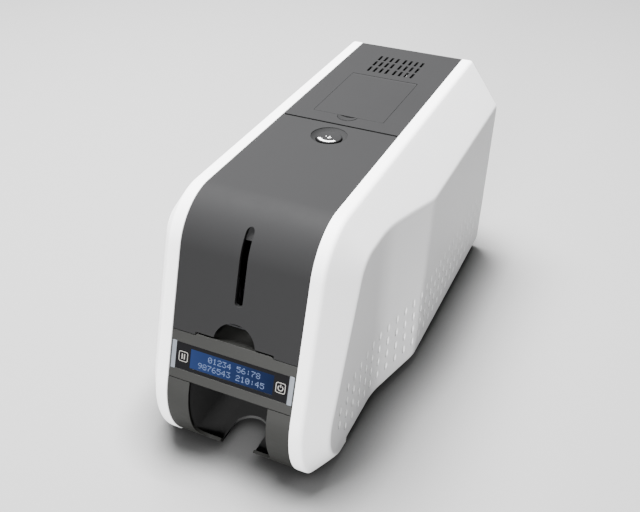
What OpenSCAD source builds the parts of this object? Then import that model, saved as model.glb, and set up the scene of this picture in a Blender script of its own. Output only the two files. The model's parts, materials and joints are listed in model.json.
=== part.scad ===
// Desktop card printer with a hinged front cover.
// The front faces -Y, the right side +X, and the origin is on the floor under the middle.

/* [Housing] */
// Overall width across both side covers
body_w = 176; // [170:1:184]
// Overall depth from the nose to the rear edge
body_l = 378; // [372:1:388]
// Height of the housing without its feet
body_h = 189; // [186:1:194]
// Height of the rubber feet
foot_h = 5; // [4:0.5:8]
// Width of the dark middle between the side covers
core_w = 100; // [99:0.5:102]
// Wall of the side covers
side_wall = 3; // [2.4:0.1:3.2]
// Wall of the dark covers
cover_wall = 2.5; // [2:0.1:2.8]
// Gap between neighbouring covers
seam_gap = 0.5; // [0.4:0.1:0.7]

/* [Side profile] */
// Lean of the front face from upright, in degrees
front_lean = 18.8; // [18:0.1:19.5]
// Radius of the bend from the top to the front
bend_r = 46; // [43:1:49]
// Radius of the toe under the front
toe_r = 60.4; // [59:0.2:62]
// Height of the toe's centre above the floor
toe_z = 44; // [42:1:45]
// How far the rear face rakes in at the floor
rear_rake = 12.5; // [8:0.5:14]

/* [Side covers] */
// Width of the flat rim beside the dark middle
rim_w = 9.3; // [8:0.1:11]
// Inset of the bevel for each millimetre that it spreads outwards
bevel_run = 1.43; // [1.3:0.01:1.6]
// How far the front part of each side is drawn in
waist_in = 15.5; // [12:0.5:16]
// Radius under the side covers
sill_r = 8; // [5:0.5:9]

/* [Front] */
// Distance of the lower edge of the front cover down the front face
band_top = 94.4; // [93:0.2:95]
// Height of the display band along the front face
band_h = 37.8; // [36:0.2:39]
// Distance from each light strip to the edge of the dark middle
strip_edge = 1; // [0.8:0.1:2]
// Height of the black display window
window_h = 20.9; // [19:0.1:21.5]
// Width of each key
key_w = 8; // [6.5:0.1:8.4]
// Height of the lit display
lcd_h = 15.1; // [13:0.1:15.5]
// Width of each light strip
strip_w = 3.8; // [3:0.1:4]
// Width of the card-level slot
slot_w = 6.2; // [5:0.1:8]
// Height of the card-level slot's lower end above the front cover's lower edge
slot_rise = 27.8; // [24:0.2:32]
// Radius of the finger notch in the front cover
notch_r = 16.5; // [14:0.5:18]
// Width of the card tongue over the display band
tongue_w = 61.2; // [60:0.2:63]
// Width of the output pocket's mouth
pocket_w = 63.6; // [61:0.2:66]
// Width of the finger cut-out in the pocket's floor
finger_w = 28; // [22:1:32]

/* [Top] */
// Place of the seam behind the front cover
seam_y = 13.25; // [12:0.25:14]
// Place of the release button
button_y = -8.6; // [-10:0.2:-7]
// Radius of the release button
button_r = 10.2; // [9:0.1:11]
// Radius of the dish around the button
dish_r = 14.5; // [13.5:0.1:15.5]
// Travel of the release button
button_travel = 2.5; // [2:0.1:2.5]
// Width of the top hatch
hatch_w = 62; // [58:1:64]
// Length of the top hatch
hatch_l = 86; // [82:1:88]
// Number of vents in each of the two groups
vent_count = 4; // [3:1:4]
// Length of the vents
vent_l = 39; // [34:1:40]

/* [Card path] */
// Width of a card
card_w = 54; // [54:0.1:55]
// Length of a card
card_l = 85.6; // [85.6:0.1:86]
// Height of the card path above the floor
path_z = 106; // [105.5:0.1:106.4]
// Radius of the platen roller
platen_r = 8; // [7:0.1:8.5]
// Radius of the pick, feed and transport rollers
feed_r = 7; // [6:0.1:7.2]
// Radius of the cleaning roller
clean_r = 6; // [5:0.1:6.5]
// Radius of the pinch roller
pinch_r = 5; // [4.5:0.1:5.2]
// Radius of the driven shafts
shaft_r = 3; // [2.5:0.1:3]
// Running clearance of shafts and pins
run_gap = 0.05; // [0.03:0.01:0.08]

/* [Frame] */
// Thickness of the frame plates
frame_t = 2; // [1.5:0.1:2.4]
// Distance from the middle to the inner face of the frame plates
frame_x = 40; // [39.6:0.1:40.4]
// Radius of the ribbon rolls
ribbon_r = 13; // [9:0.5:13]
// Radius of the turn-over carriage
flip_r = 46.5; // [45.5:0.1:47]

/* [Hidden] */

white = [0.93, 0.93, 0.93];
dark = [0.30, 0.30, 0.31];
band_grey = [0.33, 0.33, 0.32];
black = [0.06, 0.06, 0.07];
steel = [0.70, 0.71, 0.73];
rubber = [0.12, 0.12, 0.12];
nylon = [0.85, 0.85, 0.80];
touch = 0.3;

// Planes of the housing
half_w = body_w / 2;
core_x = core_w / 2;
base_z = foot_h;
top_z = foot_h + body_h;
nose_y = -body_l / 2;
tail_y = body_l / 2;
skin = seam_gap;
cover_x = core_x - touch;
top_skin = top_z - skin;
top_under = top_skin - cover_wall;

// Side profile as [y, z]: bend at the top, leaning front face, round toe
lean_n = [-cos(front_lean), sin(front_lean)];
toe_c = [nose_y + toe_r, toe_z];
front_c = lean_n * toe_c + toe_r;
bend_c = [(front_c - bend_r - lean_n[1] * (top_z - bend_r)) / lean_n[0], top_z - bend_r];
corner_y = (front_c - lean_n[1] * top_z) / lean_n[0];
function front_pt(s, d) = [corner_y - s * sin(front_lean), top_z - s * cos(front_lean)]
    - d * lean_n;
function toe_end(d, z) = asin(max(-1, (z - toe_c[1]) / (toe_r - d)));
function bend_pt(d, a) = bend_c + (bend_r - d) * [-sin(a), cos(a)];
function toe_pt(d, a) = toe_c + (toe_r - d) * [-cos(a), sin(a)];
// Height at which the leaning front or the bend, inset by d, passes y
function inner_z(y, d) =
    let (r = bend_r - d)
    y < bend_c[0] - r * cos(front_lean)
        ? (front_c - d - lean_n[0] * y) / lean_n[1]
        : bend_c[1] + sqrt(r * r - (y - bend_c[0]) * (y - bend_c[0]));
bend_steps = 12;
toe_steps = 10;
bend_turn = 90 - front_lean;
rear_tilt = 1.4;
rear_break = top_z - (half_w - core_x - rim_w) * bevel_run;
function rear_y(z) = tail_y - rear_rake * max(0, rear_break - z) / (rear_break - base_z)
    - rear_tilt * max(0, z - rear_break) / (top_z - rear_break);

// Outline of the middle, inset by d, from the rear top round to the floor
function outline(d) = concat(
    [[rear_y(top_z) - d, top_z - d]],
    [for (k = [0:bend_steps]) bend_pt(d, bend_turn * k / bend_steps)],
    [for (k = [0:toe_steps])
        toe_pt(d, front_lean + (toe_end(d, base_z + d) - front_lean) * k / toe_steps)],
    [[rear_y(base_z) - d, base_z + d], [rear_y(rear_break) - d, rear_break]]);

// A flat shape in the side view, extruded across the width
module across(w, x = 0) {
    translate([x, 0, 0])
        rotate([90, 0, 90])
            linear_extrude(w, center = true)
                children();
}

// A rod or disc along X
module rod(r, x0, x1, y, z, fn = 48) {
    translate([x0, y, z])
        rotate([0, 90, 0])
            cylinder(r = r, h = x1 - x0, $fn = fn);
}

// A block from corner to corner
module block(a, b) {
    translate(a)
        cube(b - a);
}

// Places things on the front face: X across, Y up the slope, Z outwards
module on_front(x, s, d) {
    p = front_pt(s, d);
    translate([x, p[0], p[1]])
        rotate([90 - front_lean, 0, 0])
            children();
}

// A block on the front face, centred at x and s
module front_block(w, h, x, s, d0, d1) {
    on_front(x, s, d1)
        translate([-w / 2, -h / 2, 0])
            cube([w, h, d1 - d0]);
}

// The skin between two insets
module ring(d0, d1) {
    difference() {
        polygon(outline(d0));
        polygon(outline(d1));
    }
}

// ---- side covers -------------------------------------------------------

rim_x = core_x + rim_w;
waist_x = half_w - waist_in;
waist_draft = 0.03;
flare_y0 = nose_y + 97;
flare_y1 = nose_y + 171;
flare_lean = 0.17;
function waist(z) = waist_x + waist_draft * (z - base_z - 7);
function flare_t(y, z) =
    min(1, max(0, (y - flare_y0) / (flare_y1 + flare_lean * (z - base_z - 7) - flare_y0)));
function face_x(y, z) = waist(z) + (half_w - waist(z)) * pow(flare_t(y, z), 1.15);

top_n = 22;
bend_n = 8;
toe_n = 8;
last_n = top_n + bend_n + toe_n;
crease_end_z = 3;
sill_end_y = nose_y + 53;
face_rows = 5;
slice_n = face_rows + 7;
function slice_y(i) = tail_y + (bend_c[0] - tail_y) * i / top_n;
function rear_share(i) = max(0, 1 - i / top_n);
function rear_shift(i, z, off) = (rear_y(z) - tail_y - off) * rear_share(i);
function edge_pt(i, d, off) =
    i <= top_n ? [slice_y(i) + rear_shift(i, top_z - d, off), top_z - d]
    : i <= top_n + bend_n ? bend_pt(d, bend_turn * (i - top_n) / bend_n)
    : toe_pt(d, front_lean + (i - top_n - bend_n) / toe_n
        * (toe_end(d, base_z + off + crease_end_z * min(1, d / 20)) - front_lean));
function sill_y(i, z, off) =
    i <= top_n ? slice_y(i) + rear_shift(i, z, off)
    : bend_c[0] + (sill_end_y - bend_c[0]) * (i - top_n) / (last_n - top_n);
function crease_d(i, off, d, tries) =
    tries == 0 ? d
    : let (p = edge_pt(i, d, off))
        crease_d(i, off,
            (face_x(p[0], p[1]) - off - rim_x + 0.52 * off) * bevel_run + off, tries - 1);

// One slice of the cover's outer or inner face, from the rim round to the floor
function slice(i, off) =
    let (rim = edge_pt(i, off, off))
    let (c = edge_pt(i, crease_d(i, off, 30, 6), off))
    let (floor_z = base_z + off)
    let (r = min(sill_r, 0.7 * (c[1] - floor_z)))
    let (s = [sill_y(i, floor_z + r, off), floor_z + r])
    concat(
        [[core_x, rim[0], rim[1]], [rim_x - 0.52 * off, rim[0], rim[1]]],
        [for (k = [0:face_rows])
            let (p = c + (s - c) * k / face_rows)
            [face_x(p[0], p[1]) - off, p[0], p[1]]],
        [for (a = [30, 60, 90])
            let (z = floor_z + r * (1 - sin(a)))
            [face_x(s[0], s[1]) - off - r * (1 - cos(a)), sill_y(i, z, off), z]],
        [[core_x, sill_y(i, floor_z, off), floor_z]]);

// Points down the rear edge beside the middle, level with the points of the first slice
function rear_column(off) =
    let (p = slice(0, off))
    [for (k = [2:slice_n - 3]) [core_x, p[k][1], p[k][2]]];

// The cover's shell as one surface: outer face, inner face and the edge at the middle
module cover_shell() {
    n = slice_n;
    inner = (last_n + 1) * n;
    column = 2 * inner;
    column_n = n - 4;
    points = concat(
        [for (i = [0:last_n]) each slice(i, 0)],
        [for (i = [0:last_n]) each slice(i, side_wall)],
        rear_column(0), rear_column(side_wall));
    function side_pt(k, base, shift) =
        k == 1 ? base : k == n - 2 ? base + n - 1 : column + shift + k - 2;
    function flip(f, turned) = turned ? [f[0], f[2], f[1]] : f;
    skins = [for (i = [0:last_n - 1], k = [0:n - 2], base = [0, inner])
        let (a = base + i * n + k)
        each [flip([a, a + 1, a + 1 + n], base > 0), flip([a, a + 1 + n, a + n], base > 0)]];
    rear = [for (k = [1:n - 3], base = [0, inner])
        let (shift = base > 0 ? column_n : 0)
        let (c = side_pt(k, base, shift))
        let (d = side_pt(k + 1, base, shift))
        each [flip([c, base + k + 1, base + k], base > 0), flip([c, d, base + k + 1], base > 0)]];
    rear_edge = [for (k = [1:n - 3])
        let (c = side_pt(k, 0, 0))
        let (d = side_pt(k + 1, 0, 0))
        let (e = side_pt(k, inner, column_n))
        let (f = side_pt(k + 1, inner, column_n))
        each [[d, c, e], [d, e, f]]];
    front = [for (k = [1:n - 2], base = [0, inner])
        let (a = base + last_n * n)
        flip([a, a + k, a + k + 1], base > 0)];
    edges = [for (i = [0:last_n - 1])
        let (a = i * n)
        let (b = a + n - 1)
        each [[a, a + n, inner + a + n], [a, inner + a + n, inner + a],
            [b + n, b, inner + b], [b + n, inner + b, inner + b + n]]];
    end = last_n * n;
    front_edge = [[inner + end, end, end + n - 1], [inner + end, end + n - 1, inner + end + n - 1]];
    polyhedron(points = points,
        faces = concat(skins, rear, rear_edge, front, edges, front_edge));
}

// Bore for the front cover's hinge pin, in the cover's top wall and a boss below it
hinge_boss = [core_x, core_x + 8];
module side_cover() {
    difference() {
        union() {
            cover_shell();
            block([hinge_boss[0], hinge_y - 5, top_z - 9],
                [hinge_boss[1], hinge_y + 5, top_z - side_wall + 1]);
        }
        rod(hinge_pin_r + run_gap, core_x - 1, core_x + 6, hinge_y, hinge_z);
    }
}
module right_cover() {
    color(white)
        side_cover();
}
module left_cover() {
    color(white)
        mirror([1, 0, 0])
            side_cover();
}

// ---- front cover -------------------------------------------------------

barrel_r = 2.2;
hinge_y = seam_y - seam_gap / 2 - barrel_r;
hinge_z = top_skin - barrel_r;
hinge_pin_r = 1;
card_gap = 1.3;
tongue_rise = 1.2;
band_gap = seam_gap / 2;
rib_x = core_x - 3.5;
rib_t = 2;
rib_h = 6;
dish_floor = top_z - 8.7;
dish_t = 2;
stem_r = 3;
stem_end = top_z - 18;
latch_reach = 21.4;
latch_y = button_y - latch_reach;
latch_z = top_z - 16;
latch_r = 2.5;
latch_arm_x = 30;
slot_z = front_pt(band_top, 0)[1] + slot_rise;
slot_top = top_z - 10.2;

// The region ahead of the top seam and above the display band
module front_region() {
    low = front_pt(band_top - band_gap, -20);
    back = front_pt(band_top - band_gap, 20);
    polygon([low, back, [hinge_y, back[1]], [hinge_y, top_z + 5], [low[0], top_z + 5]]);
}

module front_cover() {
    color(dark)
        difference() {
            union() {
                across(2 * cover_x)
                    intersection() {
                        ring(skin, skin + cover_wall);
                        front_region();
                    }
                for (side = [-1, 1]) {
                    across(rib_t, side * rib_x)
                        intersection() {
                            ring(skin + cover_wall / 2, skin + cover_wall + rib_h);
                            front_region();
                        }
                }
                rod(barrel_r, -cover_x, cover_x, hinge_y, hinge_z);
                translate([0, button_y, dish_floor - dish_t])
                    cylinder(r = dish_r + 2, h = top_under - dish_floor + dish_t + 1, $fn = 96);
                for (side = [-1, 1]) {
                    across(3, side * latch_arm_x) {
                        translate([latch_y, latch_z])
                            circle(r = 5, $fn = 48);
                        translate([latch_y - 5, latch_z])
                            square([10, top_under - latch_z + 1]);
                    }
                }
            }
            translate([0, button_y, dish_floor])
                cylinder(r = dish_r, h = 20, $fn = 96);
            translate([0, button_y, dish_floor - dish_t - 1])
                cylinder(r = stem_r + 0.15, h = dish_t + 2, $fn = 48);
            rod(latch_r + run_gap, -latch_arm_x - 5, latch_arm_x + 5, latch_y, latch_z);
            for (side = [-1, 1]) {
                rod(hinge_pin_r, side > 0 ? cover_x - 8 : -cover_x - 1,
                    side > 0 ? cover_x + 1 : 8 - cover_x, hinge_y, hinge_z);
            }
            card_window();
            on_front(0, band_top - band_gap, -5)
                cylinder(r = notch_r, h = 20, $fn = 96, center = true);
            front_block(tongue_w + 1, 2 * (tongue_rise + card_gap - band_gap), 0,
                band_top - band_gap, -5, 10);
        }
}

// The card-level slot with round ends, cut straight through from the front
module card_window() {
    for (z = [slot_z + slot_w / 2, slot_top - slot_w / 2]) {
        translate([0, bend_c[0], z])
            rotate([90, 0, 0])
                cylinder(r = slot_w / 2, h = 100, $fn = 32);
    }
    block([-slot_w / 2, nose_y, slot_z + slot_w / 2], [slot_w / 2, bend_c[0], slot_top - slot_w / 2]);
}

module cover_hinge_pins() {
    color(steel)
        for (side = [-1, 1]) {
            rod(hinge_pin_r, side > 0 ? cover_x - 8 : -core_x - 5.5,
                side > 0 ? core_x + 5.5 : 8 - cover_x, hinge_y, hinge_z);
        }
}

button_lift = button_travel + 0.5;
module release_button() {
    color(dark)
        translate([0, button_y, 0])
            difference() {
                union() {
                    translate([0, 0, dish_floor + button_lift])
                        cylinder(r = button_r, h = top_skin - dish_floor - button_lift - 1, $fn = 72);
                    translate([0, 0, stem_end])
                        cylinder(r = stem_r, h = dish_floor + button_lift - stem_end + 0.5, $fn = 48);
                }
                translate([0, 0, top_skin + 25])
                    sphere(r = 26.8, $fn = 96);
            }
}

spring_r = 6;
spring_wire = 0.35;
spring_turns = 2.5;
spring_sides = 6;
spring_rings = 8;
// Centre of the spring's wire at turn t
function coil_pt(t) = [spring_r * cos(360 * t), spring_r * sin(360 * t),
    spring_wire + (button_lift - 2 * spring_wire - 0.1) * t / spring_turns];
module button_spring() {
    n = spring_turns * spring_rings;
    points = [for (i = [0:n], k = [0:spring_sides - 1])
        let (t = i / spring_rings)
        let (c = coil_pt(t))
        let (a = 360 * k / spring_sides)
        [c[0] * (1 + spring_wire * cos(a) / spring_r),
            c[1] * (1 + spring_wire * cos(a) / spring_r),
            c[2] + spring_wire * sin(a)]];
    sides = [for (i = [0:n - 1], k = [0:spring_sides - 1])
        let (a = i * spring_sides + k)
        let (b = i * spring_sides + (k + 1) % spring_sides)
        each [[a, b, b + spring_sides], [a, b + spring_sides, a + spring_sides]]];
    first = [for (k = [1:spring_sides - 2]) [0, k + 1, k]];
    last = [for (k = [1:spring_sides - 2])
        [n * spring_sides, n * spring_sides + k, n * spring_sides + k + 1]];
    color(steel)
        translate([0, button_y, dish_floor + 0.05])
            polyhedron(points = points, faces = concat(sides, first, last));
}

// Catch on each side: a hook on the latch bar below a stud on the frame plate
striker_pt = [latch_y, latch_z - 28];
striker_r = 2;
catch_r = norm(striker_pt - [hinge_y, hinge_z]) + striker_r + touch;
hook_x = frame_x - 2.6;
hook_t = 3;
hook_l = 33;
module hook_shape() {
    difference() {
        polygon([latch_pt(-4, 2), latch_pt(3, 2), latch_pt(3, -4), latch_pt(-5, -14),
            latch_pt(-5, -22), latch_pt(5, -hook_l), latch_pt(-10, -hook_l), latch_pt(-10, -14)]);
        translate([hinge_y, hinge_z])
            circle(r = catch_r, $fn = 180);
    }
    hull() {
        translate([latch_y, latch_z])
            circle(r = 4, $fn = 32);
        translate(latch_pt(-7.5, -14))
            circle(r = 2.5, $fn = 32);
    }
    hull() {
        translate(latch_pt(-7.5, -14))
            circle(r = 2.5, $fn = 32);
        translate(latch_pt(-8.5, -30))
            circle(r = 1.5, $fn = 32);
    }
}
function latch_pt(dy, dz) = [latch_y + dy, latch_z + dz];
module latch_bar() {
    arm_l = button_y - latch_y + 3;
    color(steel) {
        rod(latch_r, -hook_x - hook_t / 2, hook_x + hook_t / 2, latch_y, latch_z);
        for (side = [-1, 1]) {
            across(hook_t, side * hook_x)
                hook_shape();
        }
        across(8)
            translate([latch_y, stem_end - touch - 2.5])
                square([arm_l, 2.5]);
        across(8)
            translate([latch_y, latch_z])
                circle(r = 4.2, $fn = 48);
    }
}
module latch_strikers() {
    color(steel)
        for (side = [-1, 1]) {
            rod(striker_r, side > 0 ? frame_x - 5 : -frame_x - frame_t,
                side > 0 ? frame_x + frame_t : 5 - frame_x, striker_pt[0], striker_pt[1]);
        }
}

// ---- rear top cover, hatch and fan ----------------------------------------

hatch_y0 = seam_y + 16;
hatch_y1 = hatch_y0 + hatch_l;
hatch_gap = 0.4;
ledge = 3;
hatch_t = 2;
hatch_pin_r = 1;
hatch_pivot_y = hatch_y1 - 2;
hatch_pivot_z = top_skin - hatch_t / 2 - 0.6;
dent_r = 9;
vent_y0 = hatch_y1 + 9;
vent_w = 2.6;
vent_pitch = 5.6;
vent_split = 3;
vent_bar = 2.2;
fan_w = 40;
fan_h = 10;
fan_y = vent_y0 + vent_l / 2;
fan_top = top_under;

// The region behind the top seam and above the rear panel
rear_panel_top = top_z - 12;
module rear_top_region() {
    polygon([[seam_y + seam_gap / 2, top_z + 5], [seam_y + seam_gap / 2, rear_panel_top],
        [tail_y + 5, rear_panel_top], [tail_y + 5, top_z + 5]]);
}

module vents() {
    dash = (vent_l - (vent_split - 1) * vent_bar) / vent_split;
    for (side = [-1, 1], k = [0:vent_count - 1], j = [0:vent_split - 1]) {
        x = side * (3.6 + k * vent_pitch);
        y = vent_y0 + j * (dash + vent_bar);
        block([x - vent_w / 2, y, top_under - 1], [x + vent_w / 2, y + dash, top_z + 1]);
    }
}

module rear_top_cover() {
    color(dark)
        difference() {
            union() {
                across(2 * cover_x)
                    intersection() {
                        ring(skin, skin + cover_wall);
                        rear_top_region();
                    }
                for (side = [-1, 1]) {
                    block([side * (hatch_w / 2 + 1.5) - 1.5, hatch_pivot_y - 4, top_under - 3],
                        [side * (hatch_w / 2 + 1.5) + 1.5, hatch_pivot_y + 4, top_under + 1]);
                }
                block([-hatch_w / 2, hatch_y0 - 1, top_under - 1],
                    [hatch_w / 2, hatch_y0 + ledge, top_under + 0.3]);
            }
            block([-hatch_w / 2, hatch_y0 + ledge, top_under - 5],
                [hatch_w / 2, hatch_y1, top_z + 1]);
            block([-hatch_w / 2, hatch_y0, top_skin - hatch_t - hatch_gap + 0.1],
                [hatch_w / 2, hatch_y0 + ledge + 1, top_z + 1]);
            rod(hatch_pin_r + run_gap, -hatch_w / 2 - 2.4, hatch_w / 2 + 2.4,
                hatch_pivot_y, hatch_pivot_z);
            vents();
        }
}

module top_hatch() {
    color(dark)
        difference() {
            union() {
                block([-hatch_w / 2 + hatch_gap, hatch_y0 + hatch_gap, top_skin - hatch_t],
                    [hatch_w / 2 - hatch_gap, hatch_pivot_y, top_skin]);
                rod(hatch_t / 2 + 0.6, -hatch_w / 2 + hatch_gap, hatch_w / 2 - hatch_gap,
                    hatch_pivot_y, hatch_pivot_z);
                rod(hatch_pin_r, -hatch_w / 2 - 2, hatch_w / 2 + 2, hatch_pivot_y, hatch_pivot_z);
            }
            translate([0, hatch_y0 + hatch_gap + 1, top_skin + 6])
                sphere(r = dent_r, $fn = 64);
        }
}

module fan_frame() {
    color(black)
        difference() {
            block([-fan_w / 2, fan_y - fan_w / 2, fan_top - fan_h],
                [fan_w / 2, fan_y + fan_w / 2, fan_top]);
            translate([0, fan_y, fan_top - fan_h + 1.5])
                cylinder(r = fan_w / 2 - 1, h = fan_h, $fn = 96);
            difference() {
                translate([0, fan_y, fan_top - fan_h - 1])
                    cylinder(r = fan_w / 2 - 1, h = 5, $fn = 96);
                translate([0, fan_y, fan_top - fan_h - 1])
                    cylinder(r = 8, h = 5, $fn = 64);
                for (a = [0, 90]) {
                    translate([0, fan_y, fan_top - fan_h])
                        rotate([0, 0, a + 45])
                            cube([fan_w, 3, 5], center = true);
                }
            }
            translate([0, fan_y, fan_top - fan_h - 1])
                cylinder(r = 1.5 + run_gap, h = 5, $fn = 32);
        }
}

blade_n = 7;
module fan_rotor() {
    hub_z = fan_top - fan_h + 2;
    color(black)
        translate([0, fan_y, 0]) {
            translate([0, 0, hub_z])
                cylinder(r = 9, h = fan_h - 3, $fn = 64);
            translate([0, 0, fan_top - fan_h + 0.2])
                cylinder(r = 1.5, h = 3, $fn = 32);
            for (k = [0:blade_n - 1]) {
                rotate([0, 0, 360 * k / blade_n])
                    translate([12.5, 0, hub_z + (fan_h - 3) / 2])
                        rotate([38, 0, 0])
                            cube([11, 7, 1], center = true);
            }
        }
}

// ---- display band ------------------------------------------------------------

band_mid = band_top + 8.9 + window_h / 2;
strip_gap = 0.3;
strip_x = core_x - strip_edge - strip_w / 2;
window_w = 2 * (strip_x - strip_w / 2 - strip_gap);
key_edge = 1.8;
key_gap = 0.25;
key_h = key_w + 0.6;
key_x = window_w / 2 - key_edge - key_w / 2;
key_s = band_mid + 0.15;
lcd_edge = 1.45;
lcd_w = 2 * (key_x - key_w / 2 - key_gap - lcd_edge);
tongue_h = 6;
tab_t = 2;
tab_h = 30;
tab_gap = 0.6;
tab_x = frame_x + frame_t + tab_gap + tab_t / 2;

module display_band() {
    ledge = front_pt(band_top - tongue_rise + 0.5, skin + 1.2);
    color(band_grey)
        difference() {
            union() {
                front_block(2 * cover_x, band_h - seam_gap, 0, band_top + band_h / 2, skin,
                    skin + cover_wall);
                front_block(tongue_w, tongue_h, 0, band_top - tongue_rise + tongue_h / 2, skin,
                    skin + cover_wall);
                across(tongue_w - 2)
                    polygon([ledge, [hopper_y0 - hopper_wall - 0.5, ledge[1]],
                        [hopper_y0 - hopper_wall - 0.5, ledge[1] - 2], ledge - [0, 2]]);
                for (side = [-1, 1]) {
                    front_block(tab_t, tab_h, side * tab_x, band_mid, skin + 1, skin + 12);
                }
            }
            front_block(window_w + 0.2, window_h + 0.2, 0, band_mid, -5, 10);
            for (side = [-1, 1]) {
                front_block(strip_w + 0.1, window_h + 2, side * strip_x, band_mid, -5, skin + 8);
            }
        }
}

module display_window() {
    color(black)
        difference() {
            front_block(window_w, window_h, 0, band_mid, skin + 0.3, skin + cover_wall);
            front_block(lcd_w, lcd_h, 0, band_mid, -5, 10);
            for (side = [-1, 1]) {
                front_block(key_w + 2 * key_gap, key_h + 2 * key_gap, side * key_x, key_s, -5, 10);
            }
        }
}

module lcd_module() {
    color([0.16, 0.28, 0.52])
        front_block(lcd_w - 0.2, lcd_h - 0.2, 0, band_mid, skin + 0.7, skin + cover_wall + 0.5);
    color([0.16, 0.28, 0.52])
        front_block(window_w - 2, window_h - 2, 0, band_mid, skin + cover_wall + 2,
            skin + cover_wall + 4);
    color([0.16, 0.28, 0.52])
        front_block(lcd_w + 2, window_h - 2, 0, band_mid, skin + cover_wall,
            skin + cover_wall + 2.1);
}

module light_strips() {
    color([0.78, 0.84, 0.90])
        for (side = [-1, 1]) {
            front_block(strip_w, window_h + 1.9, side * strip_x, band_mid, skin - 0.2,
                skin + cover_wall + 2);
        }
}

key_deep = cover_wall + 1.3;
module panel_key(side) {
    color(black) {
        front_block(key_w, key_h, side * key_x, key_s, skin + 0.3, skin + key_deep);
    }
}
module pause_key() {
    panel_key(-1);
}
module power_key() {
    panel_key(1);
}

// ---- lower front ---------------------------------------------------------------

low_s = band_top + band_h + band_gap;
lip_z = base_z + 4.5;
pocket_back = nose_y + 92;
pocket_wall = 2.5;
pocket_top = base_z + 62;
finger_back = nose_y + 47;
bezel_back = nose_y + 27;
mouth_r = 12;

module pocket_mouth() {
    r = mouth_r;
    rotate([90, 0, 0])
        linear_extrude(60)
            union() {
                translate([-pocket_w / 2, lip_z + r])
                    square([pocket_w, 80]);
                translate([-pocket_w / 2 + r, lip_z])
                    square([pocket_w - 2 * r, 80]);
                for (side = [-1, 1]) {
                    translate([side * (pocket_w / 2 - r), lip_z + r])
                        circle(r = r, $fn = 48);
                }
            }
}

module finger_cut() {
    r = finger_w / 2;
    translate([0, finger_back - r, base_z - 1])
        cylinder(r = r, h = 30, $fn = 64);
    block([-r, nose_y - 5, base_z - 1], [r, finger_back - r, base_z + 29]);
}

module lower_bezel() {
    low = front_pt(low_s, -20);
    back = front_pt(low_s, 40);
    color(dark)
        difference() {
            across(2 * cover_x)
                intersection() {
                    ring(skin, skin + cover_wall);
                    polygon([low, back, [bezel_back, back[1]], [bezel_back, base_z - 5],
                        [low[0], base_z - 5]]);
                }
            translate([0, finger_back + 2, 0])
                pocket_mouth();
            finger_cut();
        }
}

module output_pocket() {
    w = pocket_w / 2;
    color(dark)
        difference() {
            union() {
                block([-w - pocket_wall, bezel_back + touch, base_z + skin],
                    [w + pocket_wall, pocket_back + pocket_wall, pocket_top]);
                for (side = [-1, 1]) {
                    block([side * (w + pocket_wall + 3) - 4, pocket_back - 38, tray_top],
                        [side * (w + pocket_wall + 3) + 3, pocket_back - 13, tray_top + 2]);
                }
            }
            block([-w, bezel_back - 1, base_z + skin + pocket_wall], [w, pocket_back, pocket_top + 1]);
            block([-w, pocket_back - 1, chute_lo[1] - 1], [w, pocket_back + 10, pocket_top + 1]);
            finger_cut();
        }
}

// ---- base, rear panel, feet and screws -----------------------------------------

tray_y0 = pocket_back + pocket_wall + touch;
tray_top = base_z + 3;
panel_t = 2.5;
socket_z = base_z + 25;
dc_spot = [-30, socket_z];
usb_spot = [-6, socket_z];
net_spot = [20, socket_z];

module base_tray() {
    color(dark)
        difference() {
            base_solid();
            for (side = [-1, 1]) {
                rear_screw_hole(side);
            }
        }
}

boss_w = 6;
boss_l = 13;
boss_end = rear_y(tray_top) - panel_t - 1;
module base_solid() {
    union() {
        block([-cover_x, tray_y0, base_z], [cover_x, rear_y(base_z) - panel_t - touch - 1, tray_top]);
        for (side = [-1, 1]) {
            block([side * rear_screw[0] - boss_w / 2, boss_end - boss_l, tray_top - 0.5],
                [side * rear_screw[0] + boss_w / 2, boss_end, rear_screw[1] + 5]);
            block([side > 0 ? pocket_w / 2 + pocket_wall + touch : -cover_x,
                bezel_back + touch, base_z],
                [side > 0 ? cover_x : -pocket_w / 2 - pocket_wall - touch, tray_y0 + 1, tray_top]);
        }
        for (side = [-1, 1], y = [20, 80, 140]) {
            translate([side * (board_w / 2 - 4), board_y0 + y, tray_top - 0.5])
                cylinder(r = 3, h = board_z - tray_top + 0.5, $fn = 32);
        }
    }
}

// A slab parallel to the raked rear face
module rear_slab(d0, d1, z0, z1) {
    polygon([[rear_y(z0) - d0, z0], [rear_y(z0) - d1, z0], [rear_y(z1) - d1, z1],
        [rear_y(z1) - d0, z1]]);
}

louvre_n = 6;
louvre_w = 60;
louvre_h = 3;
louvre_pitch = 8;
louvre_z = base_z + 61;
module rear_panel() {
    color(dark)
        difference() {
            union() {
                across(2 * cover_x)
                    rear_slab(skin, skin + panel_t, base_z, rear_break);
                across(2 * cover_x)
                    rear_slab(skin, skin + panel_t, rear_break, rear_panel_top - touch);
            }
            socket_hole(dc_spot, dc_size);
            socket_hole(usb_spot, usb_size);
            socket_hole(net_spot, net_size);
            for (k = [0:louvre_n - 1]) {
                z = louvre_z + louvre_pitch * k;
                block([-louvre_w / 2, tail_y - 39, z], [louvre_w / 2, tail_y + 11, z + louvre_h]);
            }
            for (side = [-1, 1]) {
                rear_screw_hole(side);
            }
        }
}
module socket_hole(spot, size) {
    w = size[0] / 2 + 0.4;
    h = size[1] / 2 + 0.4;
    block([spot[0] - w, tail_y - 39, spot[1] - h], [spot[0] + w, tail_y + 11, spot[1] + h]);
}
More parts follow.
